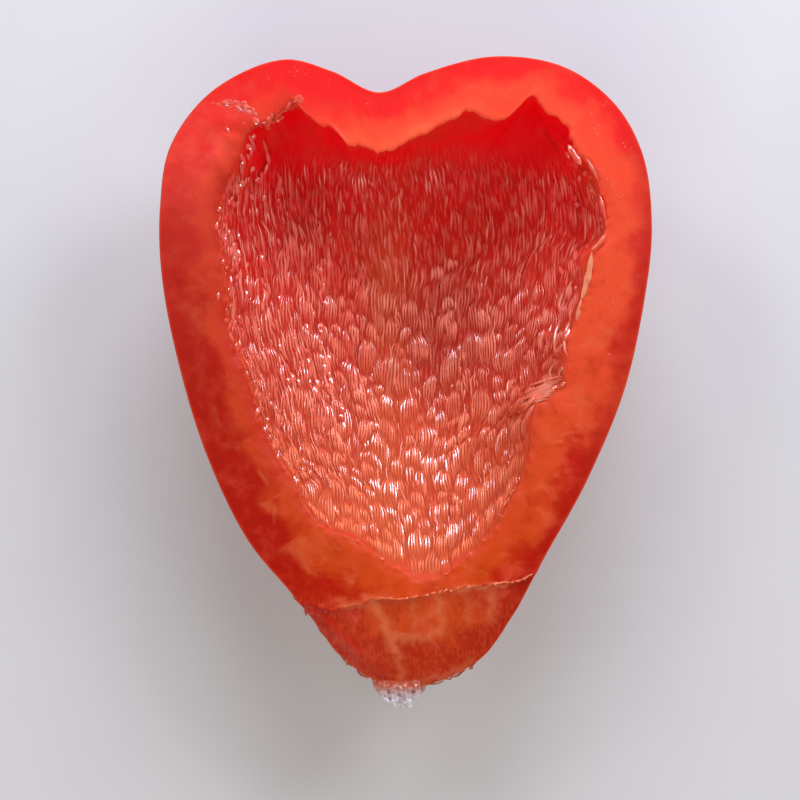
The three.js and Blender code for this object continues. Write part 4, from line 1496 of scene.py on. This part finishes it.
# A slippery film: sharp glints on its crinkles, and milky greys between them.
scrap_look, tree = new_material("wet_clear_membrane")
place = add(tree, "ShaderNodeTexCoord").outputs["Object"]
y = add(tree, "ShaderNodeSeparateXYZ", {0: place}).outputs[1]
out = add(tree, "ShaderNodeMapRange", {0: y, 1: -0.0458, 2: -0.0490})
body = add(tree, "ShaderNodeValToRGB", {0: out})
set_stops(body, [(0.0, "#c84a24"), (0.35, "#cc6444"), (0.65, "#dcb8b4"), (1.0, "#f0eaf0")])
squeeze = add(tree, "ShaderNodeMapping", {"Vector": place, "Scale": (1.0, 0.4, 1.0)})
mottle = add(tree, "ShaderNodeTexNoise", {"Vector": squeeze, "Scale": 1500.0, "Detail": 3.0})
mottle = add(tree, "ShaderNodeMapRange", {0: mottle, 1: 0.48, 2: 0.62, 3: 0.0, 4: 0.6})
mottle = add(tree, "ShaderNodeMath", {0: mottle, 1: out}, operation="MULTIPLY")
base = {0: mottle, 6: body, 7: linear("#b89090")}
base = add(tree, "ShaderNodeMix", base, data_type="RGBA").outputs[2]
crinkle = add(tree, "ShaderNodeTexNoise", {"Vector": squeeze, "Scale": 900.0, "Detail": 2.0})
bump = add(tree, "ShaderNodeBump", {"Height": crinkle, "Distance": 0.0003, "Strength": 1.0})
membrane = add(tree, "ShaderNodeBsdfPrincipled", {
    "Base Color": base,
    "Roughness": 0.14,
    "IOR": 1.45,
    "Normal": bump,
    "Transmission Weight": 0.12,
    "Subsurface Weight": 0.3,
    "Subsurface Radius": (1.0, 0.7, 0.7),
    "Subsurface Scale": 0.001,
    "Coat Weight": 0.9,
    "Coat Roughness": 0.07,
    "Coat IOR": 2.0,
    "Coat Normal": bump,
})
add(tree, "ShaderNodeOutputMaterial", {"Surface": membrane})

# It hangs between two side edges, torn unevenly at its end, crumpled in three ways, and
# thinner towards its sides and end.
across = np.linspace(0, 1, 90)[None, :]
down = np.linspace(0, 1, 54)[:, None]
left_edge = np.interp(down, [0, 0.15, 0.5, 0.8, 1.0], [-4.9, -5.3, -4.7, -3.6, -2.6])
right_edge = np.interp(down, [0, 0.15, 0.5, 0.8, 1.0], [3.2, 3.5, 3.3, 2.6, 2.2])
scrap_x = left_edge + (right_edge - left_edge) * across + 0.12 * np.sin(7 * down + 9 * across)
torn_end = 1.1 * ease(0.72, 0.78, across) + 0.06 * np.sin(23 * across)
torn_end = torn_end + 0.03 * np.sin(51 * across + 1)
torn_end = torn_end + 0.5 * (1 - ease(0.0, 0.12, across)) + 0.3 * ease(0.93, 1.0, across)
scrap_y = SCRAP_ROOT + (SCRAP_END + torn_end - SCRAP_ROOT) * down
crumple = 0.34 * np.sin(2 * math.pi * (scrap_x / 1.7 + 0.25 * np.sin(2.5 * down + 1)))
crumple = crumple + 0.16 * np.sin(2 * math.pi * (scrap_x / 0.75 + 0.3 * np.sin(5 * down)))
crumple = crumple + 0.14 * np.sin(6.0 * scrap_y + 1.5 * np.sin(2.1 * scrap_x))
root_z = cut_height(scrap_x, np.full(scrap_x.shape, SCRAP_ROOT - 0.6)) - 0.30
hem = 0.5 * ease(0.80, 0.97, down)
scrap_z = root_z + 0.35 * np.sin(math.pi * np.clip(down * 1.6, 0, 1)) - 0.6 * down**2
scrap_z = scrap_z + crumple * ease(0.12, 0.55, down) - hem - 0.5 * (2 * across - 1) ** 6
side_fade, end_fade = 1 - (2 * across - 1) ** 10, 1 - down**14
edge_fade = np.sqrt(np.clip(side_fade, 0.0, 1) * np.clip(end_fade, 0.0, 1))
sheet = closed_sheet(np.stack([scrap_x, scrap_y, scrap_z], axis=-1), 0.12 + 0.85 * edge_fade)
scrap = mesh_of("tip_scrap", [sheet], scrap_look)
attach(scrap, "root")


# Torn shreds -----------------------------------------------------------------------------
# Thin curled flakes of skin where the second cut tore it instead of slicing it. Dry and
# half clear, they are tan at the edge and orange where the flesh shines through.

# Dried skin: orange and tan flecks on a thin, slightly rough flake.
shred_look, tree = new_material("torn_dry_skin")
place = add(tree, "ShaderNodeTexCoord").outputs["Object"]
fleck = add(tree, "ShaderNodeTexNoise", {"Vector": place, "Scale": 1300.0, "Detail": 2.0})
fleck = add(tree, "ShaderNodeMapRange", {0: fleck, 1: 0.38, 2: 0.6})
base = {0: fleck, 6: linear("#c8541c"), 7: linear("#b4805c")}
base = add(tree, "ShaderNodeMix", base, data_type="RGBA").outputs[2]
bump = add(tree, "ShaderNodeBump", {"Height": fleck, "Distance": 0.00008, "Strength": 0.7})
flake = add(tree, "ShaderNodeBsdfPrincipled", {
    "Base Color": base,
    "Roughness": 0.25,
    "IOR": 1.45,
    "Normal": bump,
    "Transmission Weight": 0.15,
    "Subsurface Weight": 0.2,
    "Subsurface Radius": (1.0, 0.4, 0.2),
    "Subsurface Scale": 0.0006,
})
add(tree, "ShaderNodeOutputMaterial", {"Surface": flake})

# Each shred: its middle, heading, length and width.
flakes = []
shred_dice = np.random.default_rng(5)
along_shred = np.linspace(-1, 1, 15)[:, None]
across_shred = np.linspace(-1, 1, 7)[None, :]
for x, y, heading, length, width in (
    (-16.6, -32.8, -52, 2.6, 0.42), (-15.2, -35.0, -60, 1.0, 0.50), (-12.6, -38.4, -54, 3.0, 0.22),
    (-9.9, -42.0, -48, 2.6, 0.26), (-8.6, -43.2, -30, 1.0, 0.62), (-6.6, -45.0, -36, 2.2, 0.36),
    (4.6, -46.4, 14, 3.0, 0.28), (6.9, -45.6, 24, 1.4, 0.34), (8.2, -45.0, 26, 2.6, 0.34),
    (10.4, -43.5, 46, 1.7, 0.60), (19.4, -29.2, 62, 0.9, 0.30),
):
    taper = np.sqrt(np.clip(1 - along_shred**2, 0.03, 1)) * (1 + 0.18 * np.sin(5 * along_shred + x))
    a = length / 2 * along_shred + 0 * across_shred
    b = width / 2 * across_shred * taper + 0.12 * np.sin(3 * along_shred + y)
    angle = math.radians(heading)
    shred_x = x + a * math.cos(angle) - b * math.sin(angle)
    shred_y = y + a * math.sin(angle) + b * math.cos(angle)
    curl = 0.10 * along_shred**2 + 0.07 * np.sin(4 * along_shred + 2 * across_shred + x)
    under = cut_height(np.array([x]), np.array([y]))[0] - 0.22
    shred_z = under + curl * shred_dice.uniform(0.5, 1.2)
    top = np.stack([shred_x, shred_y, shred_z], axis=-1)
    flakes.append(closed_sheet(top, 0.10 + 0.10 * taper + 0 * across_shred))
shreds = mesh_of("torn_shreds", flakes, shred_look)
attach(shreds, "root")


# Juice beads -----------------------------------------------------------------------------
# Tiny drops of juice and burst cells that stand on the cut flesh, thickest on the right
# shoulder, where they catch the light as pale specks.

# Red juice and pale pulp: pinks that vary from drop to drop, with a small clear glint.
bead_look, tree = new_material("beads_of_juice")
place = add(tree, "ShaderNodeTexCoord").outputs["Object"]
shade = add(tree, "ShaderNodeTexNoise", {"Vector": place, "Scale": 700.0})
shade = add(tree, "ShaderNodeMapRange", {0: shade, 1: 0.35, 2: 0.65})
base = {0: shade, 6: linear("#f4604a"), 7: linear("#ff9c88")}
base = add(tree, "ShaderNodeMix", base, data_type="RGBA").outputs[2]
drop = {"Base Color": base, "Roughness": 0.25, "IOR": 1.36, "Coat Weight": 0.4}
drop = add(tree, "ShaderNodeBsdfPrincipled", drop)
add(tree, "ShaderNodeOutputMaterial", {"Surface": drop})

# The radii are in metres.
tree = scatter = new_geometry("scattered_beads", [
    ("Beads per square metre", "Float", 900000.0),
    ("Smallest radius", "Float", 0.00005),
    ("Largest radius", "Float", 0.00011),
    ("Flatness", "Float", 0.55),
    ("Drop", "Material", None),
])
given = add(tree, "NodeGroupInput").outputs
damp_at = add(tree, READ, {"Name": "damp"}, data_type="FLOAT")
crowd = add(tree, "GeometryNodeInputPosition")
crowd = add(tree, "ShaderNodeTexNoise", {"Vector": crowd, "Scale": 300.0, "Detail": 1.0})
crowd = add(tree, "ShaderNodeMapRange", {0: crowd, 1: 0.45, 2: 0.65})
for limit in (damp_at, given["Beads per square metre"]):
    crowd = add(tree, "ShaderNodeMath", {0: crowd, 1: limit}, operation="MULTIPLY")
spots = {"Mesh": given["Geometry"], "Density": crowd, "Seed": 4}
spots = add(tree, "GeometryNodeDistributePointsOnFaces", spots).outputs
ball = add(tree, "GeometryNodeMeshIcoSphere", {"Radius": 1.0, "Subdivisions": 1})
radius = {2: given["Smallest radius"], 3: given["Largest radius"], "Seed": 9}
radius = add(tree, "FunctionNodeRandomValue", radius, data_type="FLOAT").outputs[1]
low_radius = add(tree, "ShaderNodeMath", {0: radius, 1: given["Flatness"]}, operation="MULTIPLY")
form = add(tree, "ShaderNodeCombineXYZ", {0: radius, 1: radius, 2: low_radius})
placed = {"Points": spots[0], "Instance": ball, "Rotation": spots["Rotation"], "Scale": form}
placed = add(tree, "GeometryNodeInstanceOnPoints", placed)
real_beads = add(tree, "GeometryNodeRealizeInstances", {0: placed})
wet_beads = {"Geometry": real_beads, "Material": given["Drop"]}
wet_beads = add(tree, "GeometryNodeSetMaterial", wet_beads)
add(tree, "NodeGroupOutput", {0: wet_beads})
beads = grown("juice_beads", cheek.data.copy(), scatter, {"Drop": bead_look})
beads.data.polygons.foreach_set("use_smooth", [True] * len(beads.data.polygons))
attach(beads, "root")
